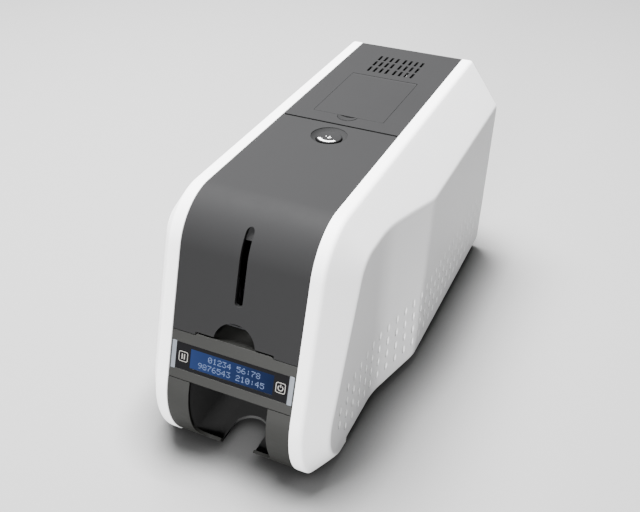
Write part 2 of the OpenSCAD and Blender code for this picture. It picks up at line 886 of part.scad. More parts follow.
// Screws that hold the rear panel to bosses on the base
screw_r = 1.5;
screw_l = 14;
rear_screw = [core_x - 4, base_z + 15];
module rear_screw_place(side) {
    translate([side * rear_screw[0], rear_y(rear_screw[1]) - skin, rear_screw[1]])
        rotate([-90 - atan(rear_rake / (rear_break - base_z)), 0, 0])
            children();
}
module rear_screw_hole(side) {
    rear_screw_place(side)
        cylinder(r = screw_r, h = 60, center = true, $fn = 24);
}

foot_r = 9;
foot_spots = [[half_w - 30, nose_y + 71], [half_w - 18, tail_y - 49]];
module rubber_feet() {
    color(rubber)
        for (side = [-1, 1], p = foot_spots) {
            translate([side * p[0], p[1], 0])
                cylinder(r = foot_r, h = foot_h, $fn = 64);
        }
}

module case_screws() {
    color(steel)
        for (side = [-1, 1]) {
            rear_screw_place(side) {
                translate([0, 0, -screw_l])
                    cylinder(r = screw_r - run_gap, h = screw_l, $fn = 24);
                cylinder(r = 2.8, h = 1.6, $fn = 24);
            }
        }
}

// ---- frame plates ------------------------------------------------------------------

// The rollers follow from the nose, and the turn-over carriage stands midway between
// the last of them and the rear panel
pick_y = nose_y + 99;
feed_y = pick_y + 36;
platen_y = pick_y + 82;
move_y = pick_y + 124;
frame_y0 = pick_y - 60;
frame_y1 = tail_y - 17;
flip_c = [(move_y + feed_r + tail_y - 6) / 2, path_z + 0.5];
head_pivot = [platen_y + 60, top_z - 42];
head_pin_r = 3;
supply_c = [platen_y - 39, path_z + 35];
takeup_c = [platen_y + 37, path_z + 27];
spool_pin_r = 3;
motor_c = [flip_c[0] - 16, base_z + 33];
motor_w = 42.3;
bush_r = 5;
small_bush_r = 4;
small_shaft_r = 2.5;
rod_spots = [[frame_y0 + 10, base_z + 75], [pick_y + 20, base_z + 35], [flip_c[0] - 52, base_z + 75],
    [frame_y1 - 6, base_z + 55], [frame_y1 - 6, path_z + 44], [platen_y - 12, base_z + 55]];
rod_r = 3;
// Posts on the frame plates that steady the side covers, as [y, z]
post_spots = [[frame_y0 + 32, base_z + 70], [move_y + 6, base_z + 25],
    [frame_y1 - 14, base_z + 65]];
post_r = 4;
path_gap = 1;
low_shafts = [for (y = [pick_y, feed_y, move_y]) [y, path_z - feed_r]];
platen_c = [platen_y, path_z - platen_r];
clean_c = [feed_y, path_z + path_gap + clean_r];
pinch_c = [move_y, path_z + path_gap + pinch_r];
bush_spots = concat(low_shafts, [platen_c]);
small_spots = [clean_c, pinch_c];
flip_shaft_r = 4;

frame_outline = [[frame_y0, tray_top + 60], [pick_y, tray_top + 60], [pick_y, tray_top],
    [frame_y1, tray_top], [frame_y1, path_z + 54], [head_pivot[0] + 8, path_z + 66],
    [head_pivot[0] - 32, path_z + 66], [platen_y - 18, path_z + 54], [platen_y - 48, path_z + 54],
    [platen_y - 52, path_z + 12], [frame_y0, path_z + 12]];
module frame_plate(side) {
    color(steel)
        difference() {
            union() {
                for (p = post_spots) {
                    x = face_x(p[0], p[1]) - side_wall - touch;
                    rod(post_r, side > 0 ? frame_x + 1 : -x, side > 0 ? x : -frame_x - 1, p[0], p[1]);
                }
                across(frame_t, side * (frame_x + frame_t / 2))
                    polygon(frame_outline);
            }
            for (p = bush_spots) {
                rod(bush_r, -60, 60, p[0], p[1]);
            }
            for (p = small_spots) {
                rod(small_bush_r, -60, 60, p[0], p[1]);
            }
            for (p = [supply_c, takeup_c]) {
                rod(spool_pin_r + run_gap, -60, 60, p[0], p[1]);
            }
            rod(head_pin_r + run_gap, -60, 60, head_pivot[0], head_pivot[1]);
            rod(flip_shaft_r + run_gap, -60, 60, flip_c[0], flip_c[1]);
            rod(striker_r, -60, 60, striker_pt[0], striker_pt[1]);
            for (p = rod_spots) {
                rod(rod_r, -60, 60, p[0], p[1]);
            }
            rod(11, -60, 0, motor_c[0], motor_c[1]);
        }
}
module left_frame() {
    frame_plate(-1);
}
module right_frame() {
    frame_plate(1);
}

module tie_rods() {
    color(steel)
        for (p = rod_spots) {
            rod(rod_r, -frame_x - frame_t - 1, frame_x + frame_t + 1, p[0], p[1]);
        }
}

// Flanged bushes in both frame plates
module bush(p, r, bore) {
    for (side = [-1, 1]) {
        difference() {
            union() {
                rod(r, side > 0 ? frame_x : -frame_x - frame_t,
                    side > 0 ? frame_x + frame_t : -frame_x, p[0], p[1]);
                rod(r + 1.5, side > 0 ? frame_x - 1.2 : -frame_x, side > 0 ? frame_x : 1.2 - frame_x,
                    p[0], p[1]);
            }
            rod(bore, -60, 60, p[0], p[1]);
        }
    }
}
module roller_bushes() {
    color(nylon) {
        for (p = bush_spots) {
            bush(p, bush_r, shaft_r + run_gap);
        }
        for (p = small_spots) {
            bush(p, small_bush_r, small_shaft_r + run_gap);
        }
    }
}

// ---- rollers, pulleys and belt ----------------------------------------------------

roller_x = 27;
belt_x = -(frame_x + frame_t + 6);
pulley_w = 7;
pulley_r = 7;
motor_pulley_r = 6;
belt_t = 1.3;
belt_gap = 0.2;

module roller(p, r, shaft, x0, x1) {
    rod(r, -roller_x, roller_x, p[0], p[1], 64);
    rod(shaft, x0, x1, p[0], p[1]);
}
module driven_roller(p, r) {
    color(rubber)
        roller(p, r, shaft_r, belt_x - pulley_w / 2 - 1, frame_x + frame_t + 2);
}
module idle_roller(p, r) {
    color(nylon)
        roller(p, r, small_shaft_r, -frame_x - frame_t - 1, frame_x + frame_t + 1);
}
module pick_roller() {
    driven_roller(low_shafts[0], feed_r);
}
module feed_roller() {
    driven_roller(low_shafts[1], feed_r);
}
module transport_roller() {
    driven_roller(low_shafts[2], feed_r);
}
module platen_roller() {
    driven_roller(platen_c, platen_r);
}
module cleaning_roller() {
    idle_roller(clean_c, clean_r);
}
module pinch_roller() {
    idle_roller(pinch_c, pinch_r);
}

module pulley(p, r, bore) {
    color(nylon)
        difference() {
            union() {
                rod(r, belt_x - pulley_w / 2, belt_x + pulley_w / 2, p[0], p[1], 64);
                rod(r + 2, belt_x - pulley_w / 2 - 1, belt_x - pulley_w / 2, p[0], p[1], 64);
                rod(r + 2, belt_x + pulley_w / 2, belt_x + pulley_w / 2 + 1, p[0], p[1], 64);
            }
            rod(bore, -80, 0, p[0], p[1]);
        }
}
module pick_pulley() {
    pulley(low_shafts[0], pulley_r, shaft_r);
}
module feed_pulley() {
    pulley(low_shafts[1], pulley_r, shaft_r);
}
module transport_pulley() {
    pulley(low_shafts[2], pulley_r, shaft_r);
}
module platen_pulley() {
    pulley(platen_c, pulley_r + platen_r - feed_r, shaft_r);
}
motor_shaft_r = 2.5;
module motor_pulley() {
    color(nylon)
        difference() {
            union() {
                rod(motor_pulley_r, belt_x - pulley_w / 2, belt_x + pulley_w / 2,
                    motor_c[0], motor_c[1], 64);
                rod(motor_pulley_r + 2, belt_x - pulley_w / 2 - 1, belt_x - pulley_w / 2,
                    motor_c[0], motor_c[1], 64);
            }
            rod(motor_shaft_r + run_gap, -80, 0, motor_c[0], motor_c[1]);
        }
}
module belt_loop(extra) {
    hull() {
        for (p = [low_shafts[0], low_shafts[2]]) {
            translate(p)
                circle(r = pulley_r + extra, $fn = 64);
        }
        translate(motor_c)
            circle(r = motor_pulley_r + extra, $fn = 64);
    }
}
module drive_belt() {
    color(rubber)
        across(pulley_w - 1, belt_x)
            difference() {
                belt_loop(belt_gap + belt_t);
                belt_loop(belt_gap);
            }
}
module drive_motor() {
    h = motor_w / 2;
    color(steel) {
        block([-frame_x, motor_c[0] - h, motor_c[1] - h], [-frame_x + 34, motor_c[0] + h, motor_c[1] + h]);
        rod(motor_shaft_r, belt_x - pulley_w / 2, -frame_x + 1, motor_c[0], motor_c[1]);
        rod(10.8, -frame_x - frame_t, -frame_x + 1, motor_c[0], motor_c[1]);
    }
}

// ---- card guide, hopper and chute -----------------------------------------------

guide_z = path_z - 2.2;
guide_t = 1.6;
guide_y1 = flip_c[0] - flip_r - 3.5;
module card_guide() {
    color(steel)
        difference() {
            union() {
                block([1.5 - frame_x, feed_y - 6, guide_z], [frame_x - 1.5, guide_y1, guide_z + guide_t]);
                for (side = [-1, 1]) {
                    block([side * (frame_x - 1) - 1, feed_y + 12, guide_z - 8],
                        [side * (frame_x - 1) + 1, platen_y - 12, guide_z + 0.5]);
                }
            }
            for (w = [[feed_y, feed_r], [platen_y, platen_r], [move_y, feed_r]]) {
                block([-frame_x - 1, w[0] - w[1] - 1.5, guide_z - 10],
                    [frame_x - 8, w[0] + w[1] + 1.5, guide_z + 5]);
            }
        }
}

hopper_y0 = frame_y0;
hopper_y1 = hopper_y0 + card_l + 0.8;
hopper_x = card_w / 2 + 0.6;
hopper_wall = 2;
hopper_floor = path_z - 0.1;
hopper_top = top_z - 28;
hopper_gap = 2.1;
hopper_front_top = inner_z(hopper_y0 - hopper_wall - hopper_gap, skin + cover_wall);
module card_hopper() {
    x = hopper_x + hopper_wall;
    color(black)
        difference() {
            union() {
                across(2 * x)
                    polygon([[hopper_y0 - hopper_wall, hopper_floor - 2],
                        [hopper_y1 + hopper_wall, hopper_floor - 2],
                        [hopper_y1 + hopper_wall, hopper_top], [hopper_y0 + 12, hopper_top],
                        [hopper_y0 - hopper_wall, hopper_front_top]]);
                for (side = [-1, 1]) {
                    block([side > 0 ? x - 1 : -frame_x, hopper_y0 + 20, hopper_floor - 2],
                        [side > 0 ? frame_x : 1 - x, hopper_y0 + 50, hopper_floor + 1]);
                }
            }
            block([-hopper_x, hopper_y0, hopper_floor], [hopper_x, hopper_y1, top_z]);
            block([-hopper_x, hopper_y1 - 1, hopper_floor - 0.1],
                [hopper_x, hopper_y1 + 5, hopper_floor + card_gap]);
            block([-hopper_x, hopper_y0 - 5, hopper_floor - 0.05],
                [hopper_x, hopper_y0 + 1, hopper_floor + card_gap]);
            block([-4, hopper_y0 - 5, hopper_floor + 12], [4, hopper_y0 + 1, top_z]);
            block([-roller_x - 1, pick_y - feed_r - 1.5, hopper_floor - 5],
                [roller_x + 1, pick_y + feed_r + 1.5, hopper_floor + 1]);
            block([-8, hopper_y1 - 1, hopper_floor + 20], [8, hopper_y1 + 5, top_z]);
        }
}
weight_t = 3;
module card_weight() {
    color(steel)
        difference() {
            union() {
                block([-hopper_x + 0.6, hopper_y0 + 0.8, hopper_floor + touch],
                    [hopper_x - 0.6, hopper_y1 - 0.8, hopper_floor + touch + weight_t]);
                block([-6, hopper_y1 - 3.8, hopper_floor + touch],
                    [6, hopper_y1 - 0.8, hopper_floor + touch + 16]);
            }
            translate([0, hopper_y0 + 20, hopper_floor - 5])
                cylinder(r = 9, h = 20, $fn = 48);
        }
}

chute_hi = [move_y + 24, base_z + 57];
chute_lo = [pocket_back + pocket_wall + touch, base_z + 46];
module exit_chute() {
    color(black)
        difference() {
            union() {
                across(2 * (card_w / 2 + 3))
                    polygon([chute_lo, chute_hi, chute_hi - [0, 2], chute_lo - [0, 2]]);
                for (side = [-1, 1]) {
                    across(2, side * (card_w / 2 + 2))
                        polygon([chute_lo - [0, 2], chute_hi - [0, 2], chute_hi + [0, 7],
                            chute_lo + [0, 7]]);
                    for (y = [pick_y + 10, move_y + 6]) {
                        block([side > 0 ? card_w / 2 + 2 : -frame_x, y, chute_lo[1] - 2],
                            [side > 0 ? frame_x : -card_w / 2 - 2, y + 10, y < move_y
                                ? chute_lo[1] + 1 : chute_hi[1] - 2]);
                    }
                }
            }
            rod(rod_r + 0.5, -60, 60, rod_spots[5][0], rod_spots[5][1]);
        }
}

// ---- print head ----------------------------------------------------------------------

head_w = 56;
head_y0 = platen_y - 7;
head_y1 = platen_y + 7;
head_low = path_z + path_gap + 0.3;
arm_x = frame_x - 3.6;
arm_t = 2;
plate_z = head_pivot[1] + 5;
plate_edge = 1.5;
module head_bracket() {
    color(steel)
        difference() {
            union() {
                for (side = [-1, 1]) {
                    across(arm_t, side * arm_x)
                        union() {
                            translate(head_pivot)
                                circle(r = 6, $fn = 48);
                            polygon([[head_y0 - plate_edge, plate_z - 2],
                                [head_y0 - plate_edge, plate_z + 2],
                                [head_pivot[0] + 2, head_pivot[1] + 5.5],
                                [head_pivot[0] + 2, head_pivot[1] - 5.5]]);
                        }
                    rod(head_pin_r, side > 0 ? arm_x : -frame_x - frame_t - 1,
                        side > 0 ? frame_x + frame_t + 1 : -arm_x, head_pivot[0], head_pivot[1]);
                }
                block([-arm_x, head_y0 - plate_edge, plate_z],
                    [arm_x, head_y1 + plate_edge, plate_z + 2]);
            }
            for (side = [-1, 1]) {
                translate([side * 18, platen_y, plate_z - 1])
                    cylinder(r = 2, h = 5, $fn = 32);
            }
        }
}
fin_n = 9;
module print_head() {
    h = head_w / 2;
    color([0.55, 0.57, 0.60])
        union() {
            block([-h, head_y0 + 4, head_low + 6], [h, head_y1 - 4, plate_z]);
            block([-h, head_y0 + 1, head_low + 3], [h, head_y1 - 1, head_low + 7]);
            across(2 * h)
                polygon([[platen_y - 2, head_low], [platen_y + 2, head_low],
                    [head_y1 - 1, head_low + 3.2], [head_y0 + 1, head_low + 3.2]]);
            for (k = [0:fin_n - 1]) {
                x = -h + 4 + k * (2 * h - 8) / (fin_n - 1);
                block([x - 1, head_y0, head_low + 14], [x + 1, head_y1, plate_z - 6]);
            }
            for (side = [-1, 1]) {
                translate([side * 18, platen_y, plate_z - 1])
                    cylinder(r = 2, h = 3.5, $fn = 32);
                translate([side * 18, platen_y, plate_z + 2])
                    cylinder(r = 3.2, h = 1.6, $fn = 32);
            }
        }
}

// ---- ribbon -----------------------------------------------------------------------------

cassette_x = 32;
cassette_t = 1.6;
core_r = 6;
gear_x = frame_x + frame_t + 3.5;
gear_w = 4;
module ribbon_cassette() {
    color(nylon)
        for (side = [-1, 1]) {
            difference() {
                across(cassette_t, side * (cassette_x + cassette_t / 2))
                    difference() {
                        union() {
                            translate(supply_c)
                                circle(r = 10, $fn = 64);
                            translate(takeup_c)
                                circle(r = 10, $fn = 64);
                            polygon([supply_c + [0, 4], supply_c + [0, -10], [head_y0 - 4, guide_z + 12],
                                [head_y1 + 4, guide_z + 12], takeup_c + [0, -10], takeup_c + [0, 4],
                                [head_y1 + 6, path_z + 22], [head_y0 - 6, path_z + 22]]);
                        }
                    }
                for (p = [supply_c, takeup_c]) {
                    rod(core_r - 1, -60, 60, p[0], p[1]);
                }
            }
            block([side > 0 ? cassette_x + cassette_t - 0.5 : -frame_x, head_y0 - 7, path_z + 17],
                [side > 0 ? frame_x : 0.5 - cassette_x - cassette_t, head_y0 - 1, path_z + 21]);
        }
}
module spool(p, r, x1) {
    rod(r, -29, 29, p[0], p[1], 96);
    rod(core_r, -31.5, 31.5, p[0], p[1]);
    rod(spool_pin_r, -frame_x - frame_t - 1, x1, p[0], p[1]);
}
module supply_spool() {
    color([0.15, 0.15, 0.18])
        spool(supply_c, ribbon_r, frame_x + frame_t + 1);
}
module takeup_spool() {
    color([0.15, 0.15, 0.18])
        spool(takeup_c, ribbon_r - 4, gear_x + gear_w / 2 + 1);
}
film_t = 0.3;
film_z = head_low - 0.6;
module ribbon_film() {
    a = supply_c + [0, -ribbon_r - 0.35];
    b = [head_y0 - 2, film_z];
    c = [head_y1 + 2, film_z];
    d = takeup_c + [0, -ribbon_r + 4 - 0.35];
    lift = [0, film_t];
    color([0.10, 0.10, 0.12])
        across(57)
            polygon([a - lift, b, c, d - lift, d, c + lift, b + lift, a]);
}

// Points of a spur gear with n teeth of the given module
pressure = 20;
function inv_deg(a) = tan(a) * 180 / PI - a;
function flank_a(n, m, rho) =
    let (rb = n * m / 2 * cos(pressure))
    90 / n - 0.12 * 90 / n + inv_deg(pressure) - (rho > rb ? inv_deg(acos(rb / rho)) : 0);
function gear_points(n, m) =
    let (r = n * m / 2)
    let (radii = [r - 1.25 * m, r - 0.5 * m, r, r + 0.5 * m, r + 0.92 * m])
    [for (i = [0:n - 1], side = [-1, 1], k = [0:4])
        let (rho = side < 0 ? radii[k] : radii[4 - k])
        let (a = 360 * i / n + side * flank_a(n, m, rho))
        rho * [cos(a), sin(a)]];

tooth_m = 1;
takeup_teeth = 28;
pinion_teeth = 18;
flip_teeth = 40;
mesh_gap = 0.06;
ribbon_turn = 20;
flip_turn = 35;
ribbon_motor_c = takeup_c + ((takeup_teeth + pinion_teeth) * tooth_m / 2 + mesh_gap)
    * [cos(ribbon_turn), sin(ribbon_turn)];
flip_motor_c = flip_c + ((flip_teeth + pinion_teeth) * tooth_m / 2 + mesh_gap)
    * [cos(flip_turn), sin(flip_turn)];

module gear(p, n, turn, x, bore) {
    difference() {
        across(gear_w, x)
            translate(p)
                rotate(turn)
                    polygon(gear_points(n, tooth_m));
        rod(bore, -80, 80, p[0], p[1]);
    }
}
module takeup_gear() {
    color(nylon)
        gear(takeup_c, takeup_teeth, ribbon_turn, gear_x, spool_pin_r);
}
module ribbon_pinion() {
    color(nylon)
        gear(ribbon_motor_c, pinion_teeth, ribbon_turn + 180 - 180 / pinion_teeth, gear_x,
            motor_shaft_r + run_gap);
}
// A small motor on two standoffs, outside a frame plate
can_r = 12;
can_l = 26;
module small_motor(p, side) {
    x0 = frame_x + frame_t;
    mirror([side < 0 ? 1 : 0, 0, 0]) {
        rod(can_r, x0 + 7, x0 + 7 + can_l, p[0], p[1], 64);
        rod(motor_shaft_r, x0 + 0.5, x0 + 8, p[0], p[1]);
        for (a = [60, 240]) {
            q = p + (pinion_teeth * tooth_m / 2 + 3.6) * [cos(a + 55), sin(a + 55)];
            rod(1.6, x0, x0 + 8, q[0], q[1], 24);
        }
        rod(can_r + 3, x0 + 5.7, x0 + 7.2, p[0], p[1], 64);
    }
}
module ribbon_motor() {
    color(steel)
        small_motor(ribbon_motor_c, 1);
}

// ---- turn-over carriage --------------------------------------------------------------------

flip_disc_x = 33;
flip_disc_t = 2.5;
module flipper() {
    color(dark)
        difference() {
            union() {
                for (side = [-1, 1]) {
                    rod(flip_r, side > 0 ? flip_disc_x : -flip_disc_x - flip_disc_t,
                        side > 0 ? flip_disc_x + flip_disc_t : -flip_disc_x,
                        flip_c[0], flip_c[1], 128);
                }
                rod(flip_shaft_r, -frame_x - frame_t - 6.5, -flip_disc_x, flip_c[0], flip_c[1]);
                rod(flip_shaft_r, flip_disc_x, frame_x + frame_t + 1, flip_c[0], flip_c[1]);
                for (up = [-1, 1]) {
                    across(2 * flip_disc_x + 1)
                        translate([flip_c[0] - 42, flip_c[1] + up * 2.3 - 0.8])
                            square([84, 1.6]);
                    for (dy = [-24, 24]) {
                        across(2 * flip_disc_x + 1)
                            translate([flip_c[0] + dy, flip_c[1] + up * 8])
                                circle(r = 3, $fn = 32);
                        across(40)
                            translate([flip_c[0] + dy - 1, flip_c[1] + (up > 0 ? 2.5 : -8)])
                                square([2, 5.5]);
                    }
                }
            }
            for (side = [-1, 1]) {
                for (a = [45:90:315]) {
                    q = flip_c + 30 * [cos(a), sin(a)];
                    rod(9, side > 0 ? flip_disc_x - 1 : -flip_disc_x - 5,
                        side > 0 ? flip_disc_x + 5 : 1 - flip_disc_x, q[0], q[1], 48);
                }
            }
        }
}
module flipper_gear() {
    color(nylon)
        gear(flip_c, flip_teeth, flip_turn, -gear_x, flip_shaft_r);
}
module flipper_pinion() {
    color(nylon)
        gear(flip_motor_c, pinion_teeth, flip_turn + 180 - 180 / pinion_teeth, -gear_x,
            motor_shaft_r + run_gap);
}
module flipper_motor() {
    color(steel)
        small_motor(flip_motor_c, -1);
}

// ---- board and sockets ------------------------------------------------------------------------

board_z = base_z + 8;
board_t = 1.6;
board_w = 76;
board_y0 = motor_c[0] - motor_w / 2 - 94.85;
board_y1 = tail_y - 29;
// Chips on the board as [x, y, width, length, height]
chips = [[-20, 30, 14, 14, 2], [16, 24, 10, 10, 2], [12, 60, 8, 20, 12], [-28, 68, 12, 12, 8]];
module main_board() {
    color([0.05, 0.35, 0.18]) {
        block([-board_w / 2, board_y0, board_z], [board_w / 2, board_y1, board_z + board_t]);
        for (c = chips) {
            y = board_y0 + c[1];
            block([c[0], y, board_z + board_t - 0.5],
                [c[0] + c[2], y + c[3], board_z + board_t + c[4]]);
        }
    }
}
socket_y0 = board_y1 - 2;
socket_y1 = tail_y - 15.5;
socket_face = tail_y - 12;

// A socket's body on the board, with a collar that stands in the rear panel
module socket(spot, w, h, hole_w, hole_h) {
    difference() {
        union() {
            block([spot[0] - w / 2, socket_y0, board_z + board_t],
                [spot[0] + w / 2, socket_y1, spot[1] + h / 2]);
            block([spot[0] - w / 2, socket_y1 - 1, spot[1] - h / 2],
                [spot[0] + w / 2, socket_face, spot[1] + h / 2]);
        }
        block([spot[0] - hole_w / 2, socket_face - 12, spot[1] - hole_h / 2],
            [spot[0] + hole_w / 2, socket_face + 1, spot[1] + hole_h / 2]);
    }
}
dc_size = [11, 11];
usb_size = [12, 11];
net_size = [16, 14];
module rear_sockets() {
    color(steel) {
        difference() {
            socket(dc_spot, dc_size[0], dc_size[1], 0.1, 0.1);
            translate([dc_spot[0], socket_face + 1, dc_spot[1]])
                rotate([90, 0, 0])
                    cylinder(r = 3.2, h = 13, $fn = 48);
        }
        socket(usb_spot, usb_size[0], usb_size[1], 8.4, 7.8);
        socket(net_spot, net_size[0], net_size[1], 11.8, 8.4);
    }
}

base_tray();
left_cover();
right_cover();
front_cover();
rear_top_cover();
top_hatch();
rear_panel();
display_band();
display_window();
lcd_module();
light_strips();
pause_key();
power_key();
lower_bezel();
output_pocket();
rubber_feet();
case_screws();
cover_hinge_pins();
release_button();
button_spring();
latch_bar();
latch_strikers();
left_frame();
right_frame();
tie_rods();
roller_bushes();
main_board();
rear_sockets();
card_guide();
card_hopper();
card_weight();
pick_roller();
feed_roller();
cleaning_roller();
platen_roller();
transport_roller();
pinch_roller();
pick_pulley();
feed_pulley();
platen_pulley();
transport_pulley();
drive_belt();
drive_motor();
motor_pulley();
head_bracket();
print_head();
ribbon_cassette();
supply_spool();
takeup_spool();
ribbon_film();
takeup_gear();
ribbon_motor();
ribbon_pinion();
flipper();
flipper_gear();
flipper_motor();
flipper_pinion();
exit_chute();
fan_frame();
fan_rotor();
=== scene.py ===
import json
import math

import bmesh
import bpy
import numpy as np
from mathutils import Matrix, Vector
from mathutils.geometry import tessellate_polygon


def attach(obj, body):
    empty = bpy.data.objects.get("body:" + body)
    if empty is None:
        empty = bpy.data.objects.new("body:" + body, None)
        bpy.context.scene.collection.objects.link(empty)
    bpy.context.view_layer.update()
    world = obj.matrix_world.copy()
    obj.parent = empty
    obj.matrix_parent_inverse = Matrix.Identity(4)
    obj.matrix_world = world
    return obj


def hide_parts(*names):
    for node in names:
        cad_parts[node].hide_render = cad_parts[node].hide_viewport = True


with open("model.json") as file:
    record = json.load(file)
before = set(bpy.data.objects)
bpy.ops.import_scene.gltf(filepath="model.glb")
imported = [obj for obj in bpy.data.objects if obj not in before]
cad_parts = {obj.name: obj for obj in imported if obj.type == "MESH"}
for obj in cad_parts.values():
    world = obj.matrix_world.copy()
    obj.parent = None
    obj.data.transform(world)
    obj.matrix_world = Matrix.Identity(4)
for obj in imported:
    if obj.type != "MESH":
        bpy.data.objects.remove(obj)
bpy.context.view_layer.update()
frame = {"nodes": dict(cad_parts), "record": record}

mm = 0.001
print("stage: frame loaded")

# shared sizes, in millimetres

body = {
    "half": 88.0, "core": 50.0, "rim": 9.3, "nose": -189.0, "tail": 189.0,
    "top": 194.0, "floor": 5.0, "skin": 0.5, "wall": 2.5, "cover": 49.7,
    "lean": math.radians(18.8), "bend": 46.0, "toe": 60.4, "toeZ": 44.0,
    "rake": 12.5, "tilt": 1.4, "bevel": 1.43, "seam": 13.25, "gap": 0.5,
    "bandTop": 94.4, "bandHeight": 37.8,
}
rimX = body["core"] + body["rim"]
leanN = np.array([-math.cos(body["lean"]), math.sin(body["lean"])])
toeC = np.array([body["nose"] + body["toe"], body["toeZ"]])
frontC = leanN @ toeC + body["toe"]
bendC = np.array([(frontC - body["bend"] - leanN[1] * (body["top"] - body["bend"])) / leanN[0],
                  body["top"] - body["bend"]])
cornerY = (frontC - leanN[1] * body["top"]) / leanN[0]
bendTurn = math.pi / 2 - body["lean"]
rearBreak = body["top"] - (body["half"] - rimX) * body["bevel"]


def frontPt(s, d):
    along = np.array([cornerY - s * math.sin(body["lean"]), body["top"] - s * math.cos(body["lean"])])
    return along - d * leanN


def bendPt(d, a):
    return bendC + (body["bend"] - d) * np.array([-math.sin(a), math.cos(a)])


def toeEnd(d, z):
    return math.asin(max(-1.0, (z - toeC[1]) / (body["toe"] - d)))


def toePt(d, a):
    return toeC + (body["toe"] - d) * np.array([-math.cos(a), math.sin(a)])


def rearY(z):
    low = max(0.0, rearBreak - z) / (rearBreak - body["floor"])
    high = max(0.0, z - rearBreak) / (body["top"] - rearBreak)
    return body["tail"] - body["rake"] * low - body["tilt"] * high


# mesh helpers


def linked(name, data):
    obj = bpy.data.objects.new(name, data)
    bpy.context.scene.collection.objects.link(obj)
    return obj


def edited(obj, change):
    bm = bmesh.new()
    bm.from_mesh(obj.data)
    change(bm)
    bm.to_mesh(obj.data)
    bm.free()
    return obj


def makeObject(name, verts, faces, sharpAngle=None):
    mesh = bpy.data.meshes.new(name)
    mesh.from_pydata([tuple(float(c) * mm for c in v) for v in verts], [], faces)
    mesh.validate(clean_customdata=False)
    mesh.update()
    obj = linked(name, mesh)
    return shade(obj, sharpAngle) if sharpAngle else obj


def shade(obj, sharpAngle=35):
    limit = math.radians(sharpAngle)

    def markEdges(bm):
        for f in bm.faces:
            f.smooth = True
        for e in bm.edges:
            e.smooth = not (len(e.link_faces) == 2 and e.calc_face_angle(0) > limit)

    return edited(obj, markEdges)


def tidyNormals(obj):
    return edited(obj, lambda bm: bmesh.ops.recalc_face_normals(bm, faces=bm.faces))


def applyAll(obj):
    dg = bpy.context.evaluated_depsgraph_get()
    mesh = bpy.data.meshes.new_from_object(obj.evaluated_get(dg))
    old = obj.data
    obj.modifiers.clear()
    obj.data = mesh
    bpy.data.meshes.remove(old)


def weigh(obj, sharpAngle=35):
    shade(obj, sharpAngle)
    weighted = obj.modifiers.new("normals", "WEIGHTED_NORMAL")
    weighted.keep_sharp = True
    applyAll(obj)
    return obj


def soften(obj, width, segments=2, angle=32):
    bev = obj.modifiers.new("bevel", "BEVEL")
    bev.width = width * mm
    bev.segments = segments
    bev.limit_method = "ANGLE"
    bev.angle_limit = math.radians(angle)
    bev.use_clamp_overlap = True
    bev.miter_outer = "MITER_ARC"
    applyAll(obj)
    return weigh(obj)


def thicken(obj, thickness, offset):
    wall = obj.modifiers.new("wall", "SOLIDIFY")
    wall.thickness = thickness * mm
    wall.offset = offset
    applyAll(obj)
    return obj


def carve(obj, *cutters):
    for cutter in cutters:
        mod = obj.modifiers.new("cut", "BOOLEAN")
        mod.operation = "DIFFERENCE"
        mod.solver = "EXACT"
        mod.object = cutter
        applyAll(obj)
        bpy.data.objects.remove(cutter)
    return obj


def gridFaces(n, m):
    return [[i * m + j, i * m + j + 1, (i + 1) * m + j + 1, (i + 1) * m + j]
            for i in range(n - 1) for j in range(m - 1)]


def prism(name, points, axis, lo, hi):
    n = len(points)
    place = {
        "x": lambda p, w: (w, p[0], p[1]),
        "y": lambda p, w: (p[0], w, p[1]),
        "z": lambda p, w: (p[0], p[1], w),
    }[axis]
    verts = [place(p, lo) for p in points] + [place(p, hi) for p in points]
    faces = [list(range(n - 1, -1, -1)), list(range(n, 2 * n))]
    faces += [[i, (i + 1) % n, n + (i + 1) % n, n + i] for i in range(n)]
    return tidyNormals(makeObject(name, verts, faces))


def box(name, lo, hi):
    outline = [(lo[0], lo[1]), (hi[0], lo[1]), (hi[0], hi[1]), (lo[0], hi[1])]
    return prism(name, outline, "z", lo[2], hi[2])


def circle(cx, cy, r, n=64, a0=0.0, a1=2 * math.pi):
    full = abs(a1 - a0 - 2 * math.pi) < 1e-6
    steps = n if full else n + 1
    return [(cx + r * math.cos(a0 + (a1 - a0) * k / n), cy + r * math.sin(a0 + (a1 - a0) * k / n))
            for k in range(steps)]


def roundRect(cx, cy, w, h, r, n=8):
    pts = []
    for sx, sy, a in ((1, 1, 0), (-1, 1, 90), (-1, -1, 180), (1, -1, 270)):
        pts += circle(cx + sx * (w / 2 - r), cy + sy * (h / 2 - r), r, n,
                      math.radians(a), math.radians(a + 90))
    return pts


def lathe(name, profile, centre, n=96, sharpAngle=35):
    m, verts = len(profile), []
    for k in range(n):
        a = 2 * math.pi * k / n
        verts += [(r * math.cos(a) + centre[0], r * math.sin(a) + centre[1], h) for r, h in profile]
    faces = [[k * m + j, (k + 1) % n * m + j, (k + 1) % n * m + j + 1, k * m + j + 1]
             for k in range(n) for j in range(m - 1)]
    obj = edited(makeObject(name, verts, faces),
                 lambda bm: bmesh.ops.remove_doubles(bm, verts=bm.verts, dist=1e-7))
    return shade(tidyNormals(obj), sharpAngle)


def moved(obj, matrix):
    obj.data.transform(matrix)
    return obj


def onFront(x, s, d):
    p = frontPt(s, d)
    place = Matrix.Translation((x * mm, p[0] * mm, p[1] * mm))
    return place @ Matrix.Rotation(math.pi / 2 - body["lean"], 4, "X")


def joined(name, objs):
    bm = bmesh.new()
    for o in objs:
        bm.from_mesh(o.data)
        bpy.data.meshes.remove(o.data)
    mesh = bpy.data.meshes.new(name)
    bm.to_mesh(mesh)
    bm.free()
    return linked(name, mesh)


